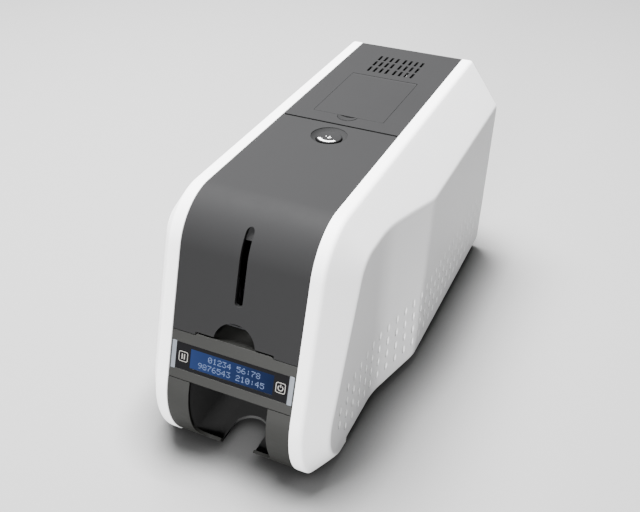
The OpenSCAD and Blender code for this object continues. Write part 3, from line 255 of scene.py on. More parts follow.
def shifted(points, distance):
    # a counter-clockwise outline moves inwards, a clockwise one outwards
    out, n = [], len(points)
    for i in range(n):
        a, b, c = points[i - 1], points[i], points[(i + 1) % n]
        before, after = (b[0] - a[0], b[1] - a[1]), (c[0] - b[0], c[1] - b[1])
        la, lb = math.hypot(*before), math.hypot(*after)
        na, nb = (-before[1] / la, before[0] / la), (-after[1] / lb, after[0] / lb)
        k = 1 + na[0] * nb[0] + na[1] * nb[1]
        out.append((b[0] + distance * (na[0] + nb[0]) / k, b[1] + distance * (na[1] + nb[1]) / k))
    return out


def plate(name, outer, holes, low, high, edge, steps=4):
    # a flat plate with clean holes, its upper edges rounded
    verts, faces, tops, bottoms = [], [], [], []
    for loop in [list(outer)] + [list(h)[::-1] for h in holes]:
        n, base = len(loop), len(verts)
        rings = [(0.0, low)]
        for k in range(steps + 1):
            a = math.pi / 2 * k / steps
            rings.append((edge * (1 - math.cos(a)), high - edge + edge * math.sin(a)))
        for inset, z in rings:
            verts += [(x, y, z) for x, y in shifted(loop, inset)]
        for r in range(len(rings) - 1):
            for i in range(n):
                a, b = base + r * n + i, base + r * n + (i + 1) % n
                faces.append([a, b, b + n, a + n])
        bottoms.append(list(range(base, base + n)))
        tops.append(list(range(base + (len(rings) - 1) * n, base + len(rings) * n)))
    for group in (tops, bottoms):
        flat = [i for loop in group for i in loop]
        loops = [[Vector((verts[i][0], verts[i][1], 0)) for i in loop] for loop in group]
        faces += [[flat[i] for i in tri] for tri in tessellate_polygon(loops)]
    return weigh(tidyNormals(makeObject(name, verts, faces)))


def settle(obj, bodyName, slotName, *nodes, material=None):
    obj.data.materials.clear()
    obj.data.materials.append(material or slotLooks[slotName])
    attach(obj, bodyName)
    if nodes:
        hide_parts(*nodes)
    return obj


# shader groups


def newGroup(name, inputs, outputs):
    group = bpy.data.node_groups.new(name, "ShaderNodeTree")
    for label, value in inputs.items():
        kind = "NodeSocketVector" if isinstance(value, tuple) else "NodeSocketFloat"
        group.interface.new_socket(label, in_out="INPUT", socket_type=kind).default_value = value
    for label in outputs:
        group.interface.new_socket(label, in_out="OUTPUT", socket_type="NodeSocketFloat")
    return group, group.nodes.new("NodeGroupInput"), group.nodes.new("NodeGroupOutput")


def node(tree, kind, **values):
    made = tree.nodes.new(kind)
    for key, value in values.items():
        made.inputs[key].default_value = value
    return made


def feed(tree, value, socket):
    if isinstance(value, bpy.types.NodeSocket):
        tree.links.new(value, socket)
    else:
        socket.default_value = value


def math2(tree, operation, a, b):
    made = tree.nodes.new("ShaderNodeMath")
    made.operation = operation
    feed(tree, a, made.inputs[0])
    feed(tree, b, made.inputs[1])
    return made.outputs[0]


def times(tree, a, b):
    return math2(tree, "MULTIPLY", a, b)


def plus(tree, a, b):
    return math2(tree, "ADD", a, b)


def objectPlace(tree):
    return tree.nodes.new("ShaderNodeTexCoord").outputs["Object"]


def noise(tree, place, **values):
    made = node(tree, "ShaderNodeTexNoise", **values)
    tree.links.new(place, made.inputs["Vector"])
    return made.outputs["Fac"]


def centred(tree, value, middle=0.5):
    return math2(tree, "SUBTRACT", value, middle)


def clamped(tree, value, socket, low=0.0):
    made = node(tree, "ShaderNodeClamp", Min=low)
    tree.links.new(value, made.inputs["Value"])
    tree.links.new(made.outputs[0], socket)


surfaceOutputs = ("Height", "Roughness", "Shade")


def mouldGroup():
    inputs = {"Grain": 900.0, "Depth": 0.5, "Rough": 0.45, "Tone": 0.06}
    g, gi, go = newGroup("mouldedSurface", inputs, surfaceOutputs)
    place = objectPlace(g)
    fine = node(g, "ShaderNodeTexNoise", Detail=2.0, Roughness=0.6)
    g.links.new(place, fine.inputs["Vector"])
    g.links.new(gi.outputs["Grain"], fine.inputs["Scale"])
    spark = node(g, "ShaderNodeTexVoronoi")
    g.links.new(place, spark.inputs["Vector"])
    g.links.new(times(g, gi.outputs["Grain"], 1.7), spark.inputs["Scale"])
    grain = plus(g, times(g, fine.outputs["Fac"], 0.7), times(g, spark.outputs["Distance"], 0.5))
    g.links.new(times(g, grain, gi.outputs["Depth"]), go.inputs["Height"])
    drift = centred(g, noise(g, place, Scale=9.0, Detail=4.0, Roughness=0.55))
    rub = centred(g, noise(g, place, Scale=28.0, Detail=5.0, Roughness=0.7))
    rough = plus(g, plus(g, gi.outputs["Rough"], times(g, rub, 0.22)), times(g, drift, 0.12))
    clamped(g, rough, go.inputs["Roughness"], 0.05)
    tones = plus(g, times(g, drift, 1.2), times(g, rub, 0.5))
    tones = plus(g, tones, times(g, centred(g, grain, 0.55), 0.35))
    g.links.new(plus(g, 1.0, times(g, tones, gi.outputs["Tone"])), go.inputs["Shade"])
    return g


def wearGroup():
    g, gi, go = newGroup("edgeWear", {"Amount": 0.3}, ("Mask",))
    geo = g.nodes.new("ShaderNodeNewGeometry")
    spots = noise(g, objectPlace(g), Scale=160.0, Detail=4.0, Roughness=0.7)
    edge = times(g, centred(g, geo.outputs["Pointiness"], 0.505), 14.0)
    edge = times(g, edge, times(g, spots, 2.0))
    clamped(g, times(g, edge, gi.outputs["Amount"]), go.inputs["Mask"])
    return g


def metalGroup():
    g, gi, go = newGroup("drawnMetal", {"Stretch": (20.0, 900.0, 900.0), "Rough": 0.32}, surfaceOutputs)
    place = objectPlace(g)
    scaled = g.nodes.new("ShaderNodeVectorMath")
    scaled.operation = "MULTIPLY"
    g.links.new(place, scaled.inputs[0])
    g.links.new(gi.outputs["Stretch"], scaled.inputs[1])
    lines = noise(g, scaled.outputs[0], Scale=1.0, Detail=3.0, Roughness=0.6)
    stain = centred(g, noise(g, place, Scale=45.0, Detail=5.0, Roughness=0.65))
    g.links.new(lines, go.inputs["Height"])
    g.links.new(plus(g, gi.outputs["Rough"], times(g, stain, 0.3)), go.inputs["Roughness"])
    tones = plus(g, times(g, centred(g, lines), 0.25), times(g, stain, 0.3))
    g.links.new(plus(g, 1.0, tones), go.inputs["Shade"])
    return g


moulded = mouldGroup()
worn = wearGroup()
drawn = metalGroup()


def principled(name):
    mat = bpy.data.materials.new(name)
    mat.use_nodes = True
    return mat, mat.node_tree, mat.node_tree.nodes["Principled BSDF"]


def tinted(tree, colour, factor):
    mix = tree.nodes.new("ShaderNodeVectorMath")
    mix.operation = "SCALE"
    feed(tree, colour, mix.inputs[0])
    feed(tree, factor, mix.inputs["Scale"])
    return mix.outputs[0]


def grouped(tree, group, **values):
    made = tree.nodes.new("ShaderNodeGroup")
    made.node_tree = group
    for key, value in values.items():
        made.inputs[key].default_value = value
    return made


def surfaced(tree, bsdf, tex, strength, bump):
    tree.links.new(tex.outputs["Roughness"], bsdf.inputs["Roughness"])
    relief = node(tree, "ShaderNodeBump", Strength=strength, Distance=bump * mm)
    tree.links.new(tex.outputs["Height"], relief.inputs["Height"])
    tree.links.new(relief.outputs[0], bsdf.inputs["Normal"])


def plastic(name, colour, rough, grain, depth, tone, bump, wear, ior=1.5, coat=0.0, wearColour=None):
    mat, tree, bsdf = principled(name)
    tex = grouped(tree, moulded, Grain=grain, Depth=depth, Rough=rough, Tone=tone)
    edge = grouped(tree, worn, Amount=wear)
    mix = tree.nodes.new("ShaderNodeMix")
    mix.data_type = "RGBA"
    tree.links.new(edge.outputs["Mask"], mix.inputs["Factor"])
    tree.links.new(tinted(tree, colour, tex.outputs["Shade"]), mix.inputs["A"])
    light = wearColour or tuple(min(1.0, c * 1.35 + 0.01) for c in colour)
    mix.inputs["B"].default_value = (*light, 1)
    tree.links.new(mix.outputs["Result"], bsdf.inputs["Base Color"])
    surfaced(tree, bsdf, tex, 0.5, bump)
    bsdf.inputs["IOR"].default_value = ior
    bsdf.inputs["Coat Weight"].default_value = coat
    bsdf.inputs["Coat Roughness"].default_value = 0.12
    return mat


def metal(name, colour, rough, stretch):
    mat, tree, bsdf = principled(name)
    tex = grouped(tree, drawn, Stretch=stretch, Rough=rough)
    tree.links.new(tinted(tree, colour, tex.outputs["Shade"]), bsdf.inputs["Base Color"])
    surfaced(tree, bsdf, tex, 0.4, 0.02)
    bsdf.inputs["Metallic"].default_value = 1.0
    return mat


lcdLook = {"left": (0.030, 0.060, 0.190, 1), "right": (0.010, 0.020, 0.066, 1), "width": 66.8, "base": 0.03}


def lcdMaterial():
    mat, tree, bsdf = principled("lcdGlass")
    place = objectPlace(tree)
    split = tree.nodes.new("ShaderNodeSeparateXYZ")
    tree.links.new(place, split.inputs[0])
    across = plus(tree, times(tree, split.outputs["X"], 1000 / lcdLook["width"]), 0.5)
    cloud = centred(tree, noise(tree, place, Scale=70.0, Detail=3.0))
    ramp = tree.nodes.new("ShaderNodeValToRGB")
    ramp.color_ramp.elements[0].color = lcdLook["left"]
    ramp.color_ramp.elements[1].color = lcdLook["right"]
    tree.links.new(plus(tree, across, times(tree, cloud, 0.25)), ramp.inputs["Fac"])
    # faint upright lines of the dot grid
    rows = node(tree, "ShaderNodeTexWave", Scale=420.0)
    tree.links.new(place, rows.inputs["Vector"])
    stripes = plus(tree, 0.92, times(tree, rows.outputs["Fac"], 0.12))
    tint = tinted(tree, ramp.outputs["Color"], stripes)
    tree.links.new(tinted(tree, tint, lcdLook["base"]), bsdf.inputs["Base Color"])
    tree.links.new(tint, bsdf.inputs["Emission Color"])
    bsdf.inputs["Emission Strength"].default_value = 1.0
    bsdf.inputs["Roughness"].default_value = 0.2
    bsdf.inputs["IOR"].default_value = 1.1
    return mat


def glowMaterial(name, colour, strength):
    mat, tree, bsdf = principled(name)
    cloud = noise(tree, objectPlace(tree), Scale=60.0, Detail=3.0)
    tone = plus(tree, 0.88, times(tree, cloud, 0.24))
    tree.links.new(tinted(tree, tuple(0.05 * c for c in colour), tone), bsdf.inputs["Base Color"])
    tree.links.new(tinted(tree, colour, tone), bsdf.inputs["Emission Color"])
    bsdf.inputs["Emission Strength"].default_value = strength
    tree.links.new(plus(tree, 0.3, times(tree, cloud, 0.1)), bsdf.inputs["Roughness"])
    return mat


# colour, roughness, grain, grain depth, tone, bump in mm, edge wear, refraction, coat, worn colour
plasticLooks = {
    "white_shell": ((0.62, 0.62, 0.625), 0.48, 1100, 0.5, 0.018, 0.02, 0.0, 1.22),
    "dark_cover": ((0.0122, 0.0122, 0.0125), 0.6, 1500, 0.8, 0.10, 0.05, 0.0, 1.09),
    "band_plastic": ((0.0108, 0.0109, 0.0101), 0.50, 1500, 0.8, 0.10, 0.05, 0.0, 1.24),
    "base_plastic": ((0.012, 0.012, 0.0125), 0.6, 700, 1.0, 0.14, 0.10, 0.2),
    "pocket_plastic": ((0.026, 0.026, 0.026), 0.58, 1300, 0.7, 0.12, 0.05, 0.0, 1.2),
    "hopper_plastic": ((0.014, 0.014, 0.015), 0.55, 1100, 0.6, 0.15, 0.05, 0.1, 1.25),
    "button_plastic": ((0.0095, 0.0095, 0.0098), 0.55, 1600, 0.6, 0.10, 0.03, 0.0, 1.1),
    "window_black": ((0.004, 0.004, 0.0045), 0.16, 300, 0.1, 0.3, 0.003, 0.0, 1.12),
    "key_black": ((0.004, 0.004, 0.0045), 0.24, 500, 0.2, 0.3, 0.01, 0.0, 1.12),
    "foot_rubber": ((0.012, 0.012, 0.012), 0.8, 600, 1.2, 0.25, 0.15, 0.0),
    "roller_rubber": ((0.016, 0.016, 0.017), 0.65, 2200, 0.8, 0.2, 0.04, 0.0),
    "roller_clean": ((0.55, 0.52, 0.43), 0.3, 900, 0.4, 0.1, 0.02, 0.0),
    "belt_rubber": ((0.012, 0.012, 0.012), 0.7, 1200, 0.9, 0.2, 0.06, 0.0),
    "nylon_parts": ((0.66, 0.64, 0.56), 0.4, 800, 0.5, 0.06, 0.03, 0.1),
    "gear_nylon": ((0.70, 0.68, 0.60), 0.38, 800, 0.5, 0.06, 0.03, 0.1),
    "cassette_plastic": ((0.32, 0.34, 0.38), 0.4, 900, 0.5, 0.08, 0.04, 0.15),
    "board_green": ((0.012, 0.13, 0.055), 0.35, 260, 0.9, 0.5, 0.06, 0.0, 1.5, 0.4),
    "fan_black": ((0.014, 0.014, 0.015), 0.45, 900, 0.6, 0.2, 0.04, 0.1),
    "motor_steel": ((0.055, 0.055, 0.06), 0.4, 700, 0.5, 0.12, 0.03, 0.4, 1.5, 0.0, (0.35, 0.35, 0.36)),
    "mark_white": ((0.70, 0.70, 0.70), 0.4, 800, 0.3, 0.05, 0.01, 0.0),
}
# colour, roughness, stretch of the drawn lines
metalLooks = {
    "steel_parts": ((0.62, 0.62, 0.64), 0.25, (900.0, 60.0, 60.0)),
    "spring_steel": ((0.50, 0.51, 0.54), 0.3, (300.0, 300.0, 300.0)),
    "plate_steel": ((0.56, 0.57, 0.60), 0.36, (900.0, 900.0, 25.0)),
    "socket_metal": ((0.55, 0.55, 0.57), 0.3, (900.0, 40.0, 900.0)),
    "head_aluminium": ((0.66, 0.67, 0.70), 0.38, (900.0, 30.0, 900.0)),
    "gear_brass": ((0.72, 0.52, 0.22), 0.28, (300.0, 300.0, 300.0)),
}
# colour, strength
glowLooks = {
    "lcd_dots": ((0.15, 0.23, 0.46), 1.1),
    "light_lens": ((0.50, 0.56, 0.65), 0.6),
    "icon_white": ((0.62, 0.60, 0.56), 1.1),
}


def camel(slotName):
    first, *others = slotName.split("_")
    return first + "".join(word.title() for word in others)


slotLooks = {"lcd_glass": lcdMaterial()}
for make, looks in ((plastic, plasticLooks), (metal, metalLooks), (glowMaterial, glowLooks)):
    slotLooks.update({slot: make(camel(slot), *values) for slot, values in looks.items()})
slotLooks["ribbon_black"] = slotLooks["window_black"]
print("stage: materials")

# materials on the CAD nodes
for part in frame["record"]["subparts"]:
    cad = frame["nodes"][part["node"]]
    cad.data.materials.clear()
    cad.data.materials.append(slotLooks[part["material_slot"]])
print("stage: CAD nodes dressed")

# white side covers

shell = {
    "waist": 15.5, "draft": 0.03, "flareStart": -92.0, "flareEnd": -18.0, "flareLean": 0.17,
    "flareIn": 0.3, "flareOut": 0.13, "sill": 8.0, "sillEnd": -136.0, "wall": 3.0,
    "rimRound": 2.6, "creaseRound": 2.4, "rearRound": 1.6, "rimInset": 0.52, "sillBend": -116.0,
    "sillFront": -131.0,
    "topStep": 0.5, "bendSteps": 44, "frontSteps": 96, "toeSteps": 44, "faceRows": 150,
}
dimples = {
    "startY": -152.0, "pitchY": 12.55, "countY": 26, "rowsZ": (67.5, 54.0, 40.5, 27.0),
    "halfWidth": 1.75, "halfLength": 1.6, "depth": 1.0, "wall": 0.5, "innerX": 70,
    "skip": ((0, 0), (0, 3), (25, 0)),
}


def waistAt(z):
    return body["half"] - shell["waist"] + shell["draft"] * (z - body["floor"] - 7)


def faceX(y, z):
    end = shell["flareEnd"] + shell["flareLean"] * (z - body["floor"] - 7)
    t = min(1.0, max(0.0, (y - shell["flareStart"]) / (end - shell["flareStart"])))
    w = waistAt(z)
    # the flare starts gently and its end is rounded over a few millimetres
    a, b = shell["flareIn"], shell["flareOut"]
    slope = 1 / (1 - (a + b) / 2)
    if t < a:
        e = slope * t * t / (2 * a)
    elif t < 1 - b:
        e = slope * (t - a / 2)
    else:
        e = 1 - slope * (1 - t) ** 2 / (2 * b)
    return w + (body["half"] - w) * e


def stations(topStep, bendSteps, frontSteps, toeSteps):
    n = int((body["tail"] - bendC[0]) / topStep)
    out = [("top", k / n) for k in range(n)]
    out += [("bend", k / bendSteps) for k in range(bendSteps)]
    out += [("front", k / frontSteps) for k in range(frontSteps)]
    out += [("toe", k / toeSteps) for k in range(toeSteps + 1)]
    return out


# where the lower edge of the face starts and ends for each part of the profile
sillMarks = {
    "bend": (bendC[0], shell["sillBend"]), "front": (shell["sillBend"], shell["sillFront"]),
    "toe": (shell["sillFront"], shell["sillEnd"]),
}


def edgeAt(kind, t, d, off):
    if kind == "top":
        y = body["tail"] + (bendC[0] - body["tail"]) * t
        return np.array([y + (rearY(body["top"] - d) - body["tail"] - off) * (1 - t), body["top"] - d])
    if kind == "bend":
        return bendPt(d, bendTurn * t)
    if kind == "front":
        return bendPt(d, bendTurn) * (1 - t) + toePt(d, body["lean"]) * t
    low = toeEnd(d, body["floor"] + off + 3.0 * min(1.0, d / 20))
    return toePt(d, body["lean"] + (low - body["lean"]) * t)


def sillAt(kind, t, z, off):
    if kind == "top":
        y = body["tail"] + (bendC[0] - body["tail"]) * t
        return y + (rearY(z) - body["tail"] - off) * (1 - t)
    a, b = sillMarks[kind]
    return a + (b - a) * t


def bezier(a, b, c, n):
    ts = np.linspace(0, 1, n)[:, None]
    return (1 - ts) ** 2 * a + 2 * ts * (1 - ts) * b + ts ** 2 * c


def section(kind, t, off, faceRows, fine=True):
    def at(x, d):
        p = edgeAt(kind, t, d, off)
        return np.array([x, p[0], p[1]])

    core, rimEnd = body["core"], rimX - shell["rimInset"] * off
    # the depth at which the bevel meets the face, found step by step
    d = 30.0
    for _ in range(7):
        p = edgeAt(kind, t, d, off)
        d = (faceX(p[0], p[1]) - off - rimEnd) * body["bevel"] + off
    c = edgeAt(kind, t, d, off)
    crease = np.array([faceX(c[0], c[1]) - off, c[0], c[1]])
    floorZ = body["floor"] + off
    r = min(shell["sill"], 0.7 * (c[1] - floorZ))
    s = np.array([sillAt(kind, t, floorZ + r, off), floorZ + r])
    rr = shell["rimRound"] if fine else 0.01
    cr = shell["creaseRound"] if fine else 0.01
    slope = 1 / math.hypot(1, body["bevel"])

    def bevelAt(w):
        return at(rimEnd + w * slope, off + w * slope * body["bevel"])

    length = (d - off) / (slope * body["bevel"])
    rows = []
    if fine:
        # the rounded inner edge of the rim
        edge = ((0, 2.8), (0, 0.55), (0.06, 0.26), (0.26, 0.06), (0.6, 0))
        rows += [at(core + x, off + depth) for x, depth in edge]
    else:
        rows += [at(core, off)]
    rows += list(bezier(at(rimEnd - rr, off), at(rimEnd, off), bevelAt(rr), 9 if fine else 2))
    rows += [bevelAt(w) for w in np.linspace(rr, length - cr, 12 if fine else 2)[1:]]
    down = np.array([s[0] - c[0], s[1] - c[1]])
    run = np.linalg.norm(down)

    def faceAt(w):
        p = c + down * w / run
        return np.array([faceX(p[0], p[1]) - off, p[0], p[1]])

    cr = min(cr, run * 0.3)
    rows += list(bezier(rows[-1], crease, faceAt(cr), 9 if fine else 2)[1:])
    rows += [faceAt(w) for w in np.linspace(cr, run, faceRows)[1:]]
    fx = faceX(s[0], s[1]) - off
    for a in np.linspace(0, math.pi / 2, 9 if fine else 4)[1:]:
        z = floorZ + r * (1 - math.sin(a))
        rows.append(np.array([fx - r * (1 - math.cos(a)), sillAt(kind, t, z, off), z]))
    rows.append(np.array([core, sillAt(kind, t, floorZ, off), floorZ]))
    return rows


def pressDimples(points):
    y, z = points[:, 1], points[:, 2]
    k = np.clip(np.round((y - dimples["startY"]) / dimples["pitchY"]), 0, dimples["countY"] - 1)
    rowsZ = np.array(dimples["rowsZ"])
    j = np.argmin(np.abs(z[:, None] - rowsZ[None, :]), axis=1)
    dy = (y - (dimples["startY"] + k * dimples["pitchY"])) / dimples["halfWidth"]
    dz = np.maximum(np.abs(z - rowsZ[j]) - dimples["halfLength"], 0) / dimples["halfWidth"]
    r2 = np.minimum(dy ** 2 + dz ** 2, 1.0)
    # a flat bottom with a sloping wall
    rise = np.clip((1 - np.sqrt(r2)) / dimples["wall"], 0, 1)
    depth = dimples["depth"] * rise ** 2 * (3 - 2 * rise)
    for a, b in dimples["skip"]:
        depth[(k == a) & (j == b)] = 0
    depth[points[:, 0] < dimples["innerX"]] = 0
    points[:, 0] -= depth


def sideShell(name, side):
    spots = stations(shell["topStep"], shell["bendSteps"], shell["frontSteps"], shell["toeSteps"])
    sections = []
    # rounded rear edge: thinner sections stand behind the first full one
    rr = shell["rearRound"]
    for a in (90, 68, 45, 22):
        w = math.radians(a)
        rows = np.array(section("top", 0.0, rr * (1 - math.cos(w)), shell["faceRows"]))
        rows[:, 1] += rr * (1 - math.cos(w))
        rows[:, 1] -= rr * (1 - math.sin(w))
        sections.append(rows)
    for i, (kind, t) in enumerate(spots):
        rows = np.array(section(kind, t, 0.0, shell["faceRows"]))
        if i == 0:
            rows[:, 1] -= rr
        elif i < 3:
            rows[:, 1] -= rr * (1 - i / 3)
        sections.append(rows)
    grid = np.array(sections)
    n, m = grid.shape[:2]
    flat = grid.reshape(-1, 3)
    pressDimples(flat)
    verts = [flat]
    faces = gridFaces(n, m)
    # rear cap to the middle, and the cap under the toe
    first = grid[0]
    column = first.copy()
    column[:, 0] = body["core"]
    base = n * m
    verts.append(column)
    faces += [[base + j, base + j + 1, j + 1, j] for j in range(m - 1)]
    last = (n - 1) * m
    faces += [[last, last + j, last + j + 1] for j in range(1, m - 1)]
    # plain inner face
    inner = np.array([section(k, t, shell["wall"], 8, False) for k, t in stations(8.0, 10, 6, 8)])
    ni, mi = inner.shape[:2]
    base += m
    verts.append(inner.reshape(-1, 3))
    index = base + np.arange(ni * mi).reshape(ni, mi)
    faces += [[base + f[k] for k in (0, 3, 2, 1)] for f in gridFaces(ni, mi)]
    faces += [index[0, :].tolist(), index[-1, ::-1].tolist()]
    allVerts = np.concatenate(verts)
    if side < 0:
        allVerts = allVerts * np.array([-1, 1, 1])
        faces = [f[::-1] for f in faces]
    return makeObject(name, allVerts, faces, 38)


for side, name in ((1, "right"), (-1, "left")):
    settle(sideShell(name + "Shell", side), "chassis", "white_shell", name + "_cover")
print("stage: side covers")

# dark covers

hingeY = body["seam"] - body["gap"] / 2 - 2.2
hingeZ = body["top"] - body["skin"] - 2.2
topSkin = body["top"] - body["skin"]
topUnder = topSkin - body["wall"]


def coverPath(d, y0, s1, bendSteps=56):
    start, end = bendPt(d, 0.0), bendPt(d, bendTurn)
    pts = [(y0, body["top"] - d), (start[0] + 1.0, start[1])]
    pts += [tuple(bendPt(d, bendTurn * k / bendSteps)) for k in range(bendSteps + 1)]
    last = frontPt(s1, d)
    pts += [tuple(end + (last - end) / np.linalg.norm(last - end)), tuple(last)]
    return pts


opening = {
    "slotWidth": 6.2, "slotLow": 132.44, "slotTop": 183.8, "notch": 16.5, "tongue": 61.2,
    "tongueRise": 1.2, "cardGap": 1.3, "dish": 14.5, "dishY": -8.6,
}


def frontCoverPiece():
    s1 = body["bandTop"] - body["gap"] / 2
    outer = coverPath(body["skin"], hingeY, s1)
    inner = coverPath(body["skin"] + body["wall"], hingeY, s1)
    obj = prism("frontCover", outer + inner[::-1], "x", -body["cover"], body["cover"])
    w = opening["slotWidth"] / 2
    slotPts = circle(0, opening["slotTop"] - w, w, 20, 0, math.pi) + circle(
        0, opening["slotLow"] + w, w, 20, math.pi, 2 * math.pi)
    slotCut = prism("slotCut", slotPts, "y", -200, -100)
    onEdge = onFront(0, s1, 0)
    notchCut = moved(prism("notchCut", circle(0, 0, opening["notch"], 96), "z", -12, 12), onEdge)
    jog = 2 * (opening["tongueRise"] + opening["cardGap"] - body["gap"] / 2)
    tonguePts = roundRect(0, 0, opening["tongue"] + 1, jog, 0.8)
    tongueCut = moved(prism("tongueCut", tonguePts, "z", -12, 12), onEdge)
    dishPts = circle(0, opening["dishY"], opening["dish"], 96)
    dishCut = prism("dishCut", dishPts, "z", topUnder - 5, topSkin + 5)
    return soften(carve(obj, slotCut, notchCut, tongueCut, dishCut), 0.45, 3, 28)


settle(frontCoverPiece(), "cover", "dark_cover", "front_cover")


inside = {
    "ribX": 46.5, "ribDepth": 6, "lugX": 30, "lugY": -30, "lugZ": 178, "lugR": 5, "barrel": 2.2,
    "padX": 5.5, "padNear": 1.2, "padFar": 3.0, "padFrom": 8, "padTo": 50, "rimX": 6.4,
}


def coverInside():
    under = body["skin"] + body["wall"]
    parts = []
    for x in (-inside["ribX"], inside["ribX"]):
        s1 = body["bandTop"] - body["gap"] / 2 - 2
        a = coverPath(under - 0.2, hingeY - 2, s1, 24)
        b = coverPath(under + inside["ribDepth"], hingeY - 2, s1, 24)
        parts.append(prism("rib", a + b[::-1], "x", x - 1, x + 1))
    barrelPts = circle(hingeY, hingeZ, inside["barrel"], 40)
    parts.append(prism("barrel", barrelPts, "x", -body["cover"], body["cover"]))
    y, r = inside["lugY"], inside["lugR"]
    for x in (-inside["lugX"], inside["lugX"]):
        lug = [(y - r, topUnder + 0.2)] + circle(y, inside["lugZ"], r, 24, math.pi, 2 * math.pi)
        parts.append(prism("lug", lug + [(y + r, topUnder + 0.2)], "x", x - 1.5, x + 1.5))
    # a wall behind the upper part of the card-level slot
    a0, a1 = math.radians(inside["padFrom"]), math.radians(inside["padTo"])
    turns = [(a1 - a0) * k / 12 for k in range(13)]
    far = [tuple(bendPt(under + inside["padFar"], a1 - turn)) for turn in turns]
    near = [tuple(bendPt(under + inside["padNear"], a0 + turn)) for turn in turns]
    parts.append(prism("slotPad", near + far, "x", -inside["padX"], inside["padX"]))
    for x in (-inside["rimX"], inside["rimX"]):
        rim = [tuple(bendPt(under - 0.2, a0 + turn)) for turn in turns]
        parts.append(prism("slotRim", rim + far, "x", x - 1.0, x + 1.0))
    return soften(joined("coverInside", parts), 0.3, 2, 32)


settle(coverInside(), "cover", "dark_cover")

dish = {"rim": 14.5, "well": 10.7, "floor": 185.35, "step": 2.7}
dishProfile = [(3.4, dish["floor"] - 2.0), (3.4, dish["floor"]), (dish["well"] - 0.3, dish["floor"]),
               (dish["well"], dish["floor"] + 0.3), (dish["well"], topSkin - dish["step"] - 0.2),
               (dish["well"] + 0.3, topSkin - dish["step"]), (12.2, topSkin - 2.3), (13.6, topSkin - 1.25),
               (dish["rim"] - 0.05, topSkin - 0.46), (dish["rim"] + 0.2, topSkin - 0.6),
               (16.4, topUnder - 0.1), (16.4, dish["floor"] - 2.0), (3.4, dish["floor"] - 2.0)]
settle(lathe("buttonDish", dishProfile, (0, opening["dishY"]), 128, 50), "cover", "dark_cover")

button = {"r": 10.2, "top": topSkin - 1.0, "low": 188.3, "face": 9.0, "stem": 3.0, "end": 176.0}


def buttonTop(r):
    # the shallow dished top of the button
    return topSkin - 1.55 + 0.5 * (r / button["face"]) ** 2


def buttonPiece():
    r, top, low, stem, end = (button[key] for key in ("r", "top", "low", "stem", "end"))
    prof = [(button["face"] * k / 12, buttonTop(button["face"] * k / 12)) for k in range(13)]
    prof += [(9.4, top), (9.8, top - 0.1), (10.1, top - 0.4), (r, top - 0.9), (r, low), (stem, low),
             (stem, end + 0.2), (stem - 0.3, end), (0.0, end)]
    return lathe("releaseButton", prof, (0, opening["dishY"]), 96, 40)


settle(buttonPiece(), "button", "button_plastic", "release_button")


marks = {
    "from": -147, "turn": 114, "radii": (6.6, 7.4, 8.2, 9.0), "lift": 0.14,
    "dots": ((-2.7, 0.6, 0.42), (0.2, 0.9, 0.5), (0.0, -1.1, 0.75), (1.6, -0.4, 0.4)),
}


def buttonMarks():
    # a short curved bar at the front of the button and a few small dots in its middle
    y0, n, lift = opening["dishY"], 24, marks["lift"]
    verts, faces = [], []
    for k in range(n + 1):
        a = math.radians(marks["from"] + marks["turn"] * k / n)
        for r in marks["radii"]:
            verts.append((r * math.cos(a), y0 + r * math.sin(a), buttonTop(r) + lift))
    faces += gridFaces(n + 1, len(marks["radii"]))
    for x, y, size in marks["dots"]:
        base = len(verts)
        verts += [(px, y0 + py, buttonTop(math.hypot(px, py)) + lift) for px, py in circle(x, y, size, 12)]
        faces.append([base + k for k in range(12)])
    return makeObject("buttonMark", verts, faces, 60)


settle(tidyNormals(buttonMarks()), "button", "button_plastic", material=slotLooks["mark_white"])

hatch = {
    "y0": 29.25, "y1": 115.25, "w": 62.0, "gap": 0.35, "line": 0.2, "dent": 8.6, "dentDepth": 1.4,
    "pivotY": 113.25, "pivotDrop": 1.6, "rod": 1.85, "rodX": 30.4, "pin": 1.0, "pinX": 33.0, "lugX": 32.5,
}
vents = {"y0": 124.25, "length": 39.0, "width": 2.6, "pitch": 5.6, "first": 3.6, "count": 4, "bar": 2.2}


def rearCoverPiece():
    y0, y1 = body["seam"] + body["gap"] / 2, rearY(body["top"]) - body["skin"]
    w, line, dent = body["cover"], hatch["line"], hatch["dent"]
    hx, hy0, hy1, r = hatch["w"] / 2 - line, hatch["y0"] + line, hatch["y1"] - line, 1.0
    quarter = math.pi / 2
    hole = [(hx - r, hy0)] + circle(hx - r, hy0 + r, r, 6, -quarter, 0)[1:]
    hole += circle(hx - r, hy1 - r, r, 6, 0, quarter)
    hole += circle(r - hx, hy1 - r, r, 6, quarter, math.pi)
    hole += circle(r - hx, hy0 + r, r, 6, math.pi, 3 * quarter)
    hole += circle(0, hy0, dent, 36, math.pi, 2 * math.pi)
    holes = [hole]
    dash = (vents["length"] - 2 * vents["bar"]) / 3
    for side in (-1, 1):
        for k in range(vents["count"]):
            for j in range(3):
                x = side * (vents["first"] + k * vents["pitch"])
                y = vents["y0"] + j * (dash + vents["bar"]) + dash / 2
                holes.append(roundRect(x, y, vents["width"] - 0.5, dash - 0.5, 0.7, 4))
    outer = [(-w, y0), (w, y0), (w, y1), (-w, y1)]
    top = plate("rearTop", outer, holes, topUnder, topSkin, 0.25, 4)
    skirtY = rearY(182.0) - body["skin"]
    skirt = prism("rearSkirt", [(y1 - 0.05, topSkin - 0.4), (skirtY, 182.0), (skirtY - body["wall"], 182.0),
                                (y1 - body["wall"] - 0.05, topSkin - 0.4)], "x", 0.05 - w, w - 0.05)
    return joined("rearCover", [top, soften(skirt, 0.2, 2), dentScoop()])


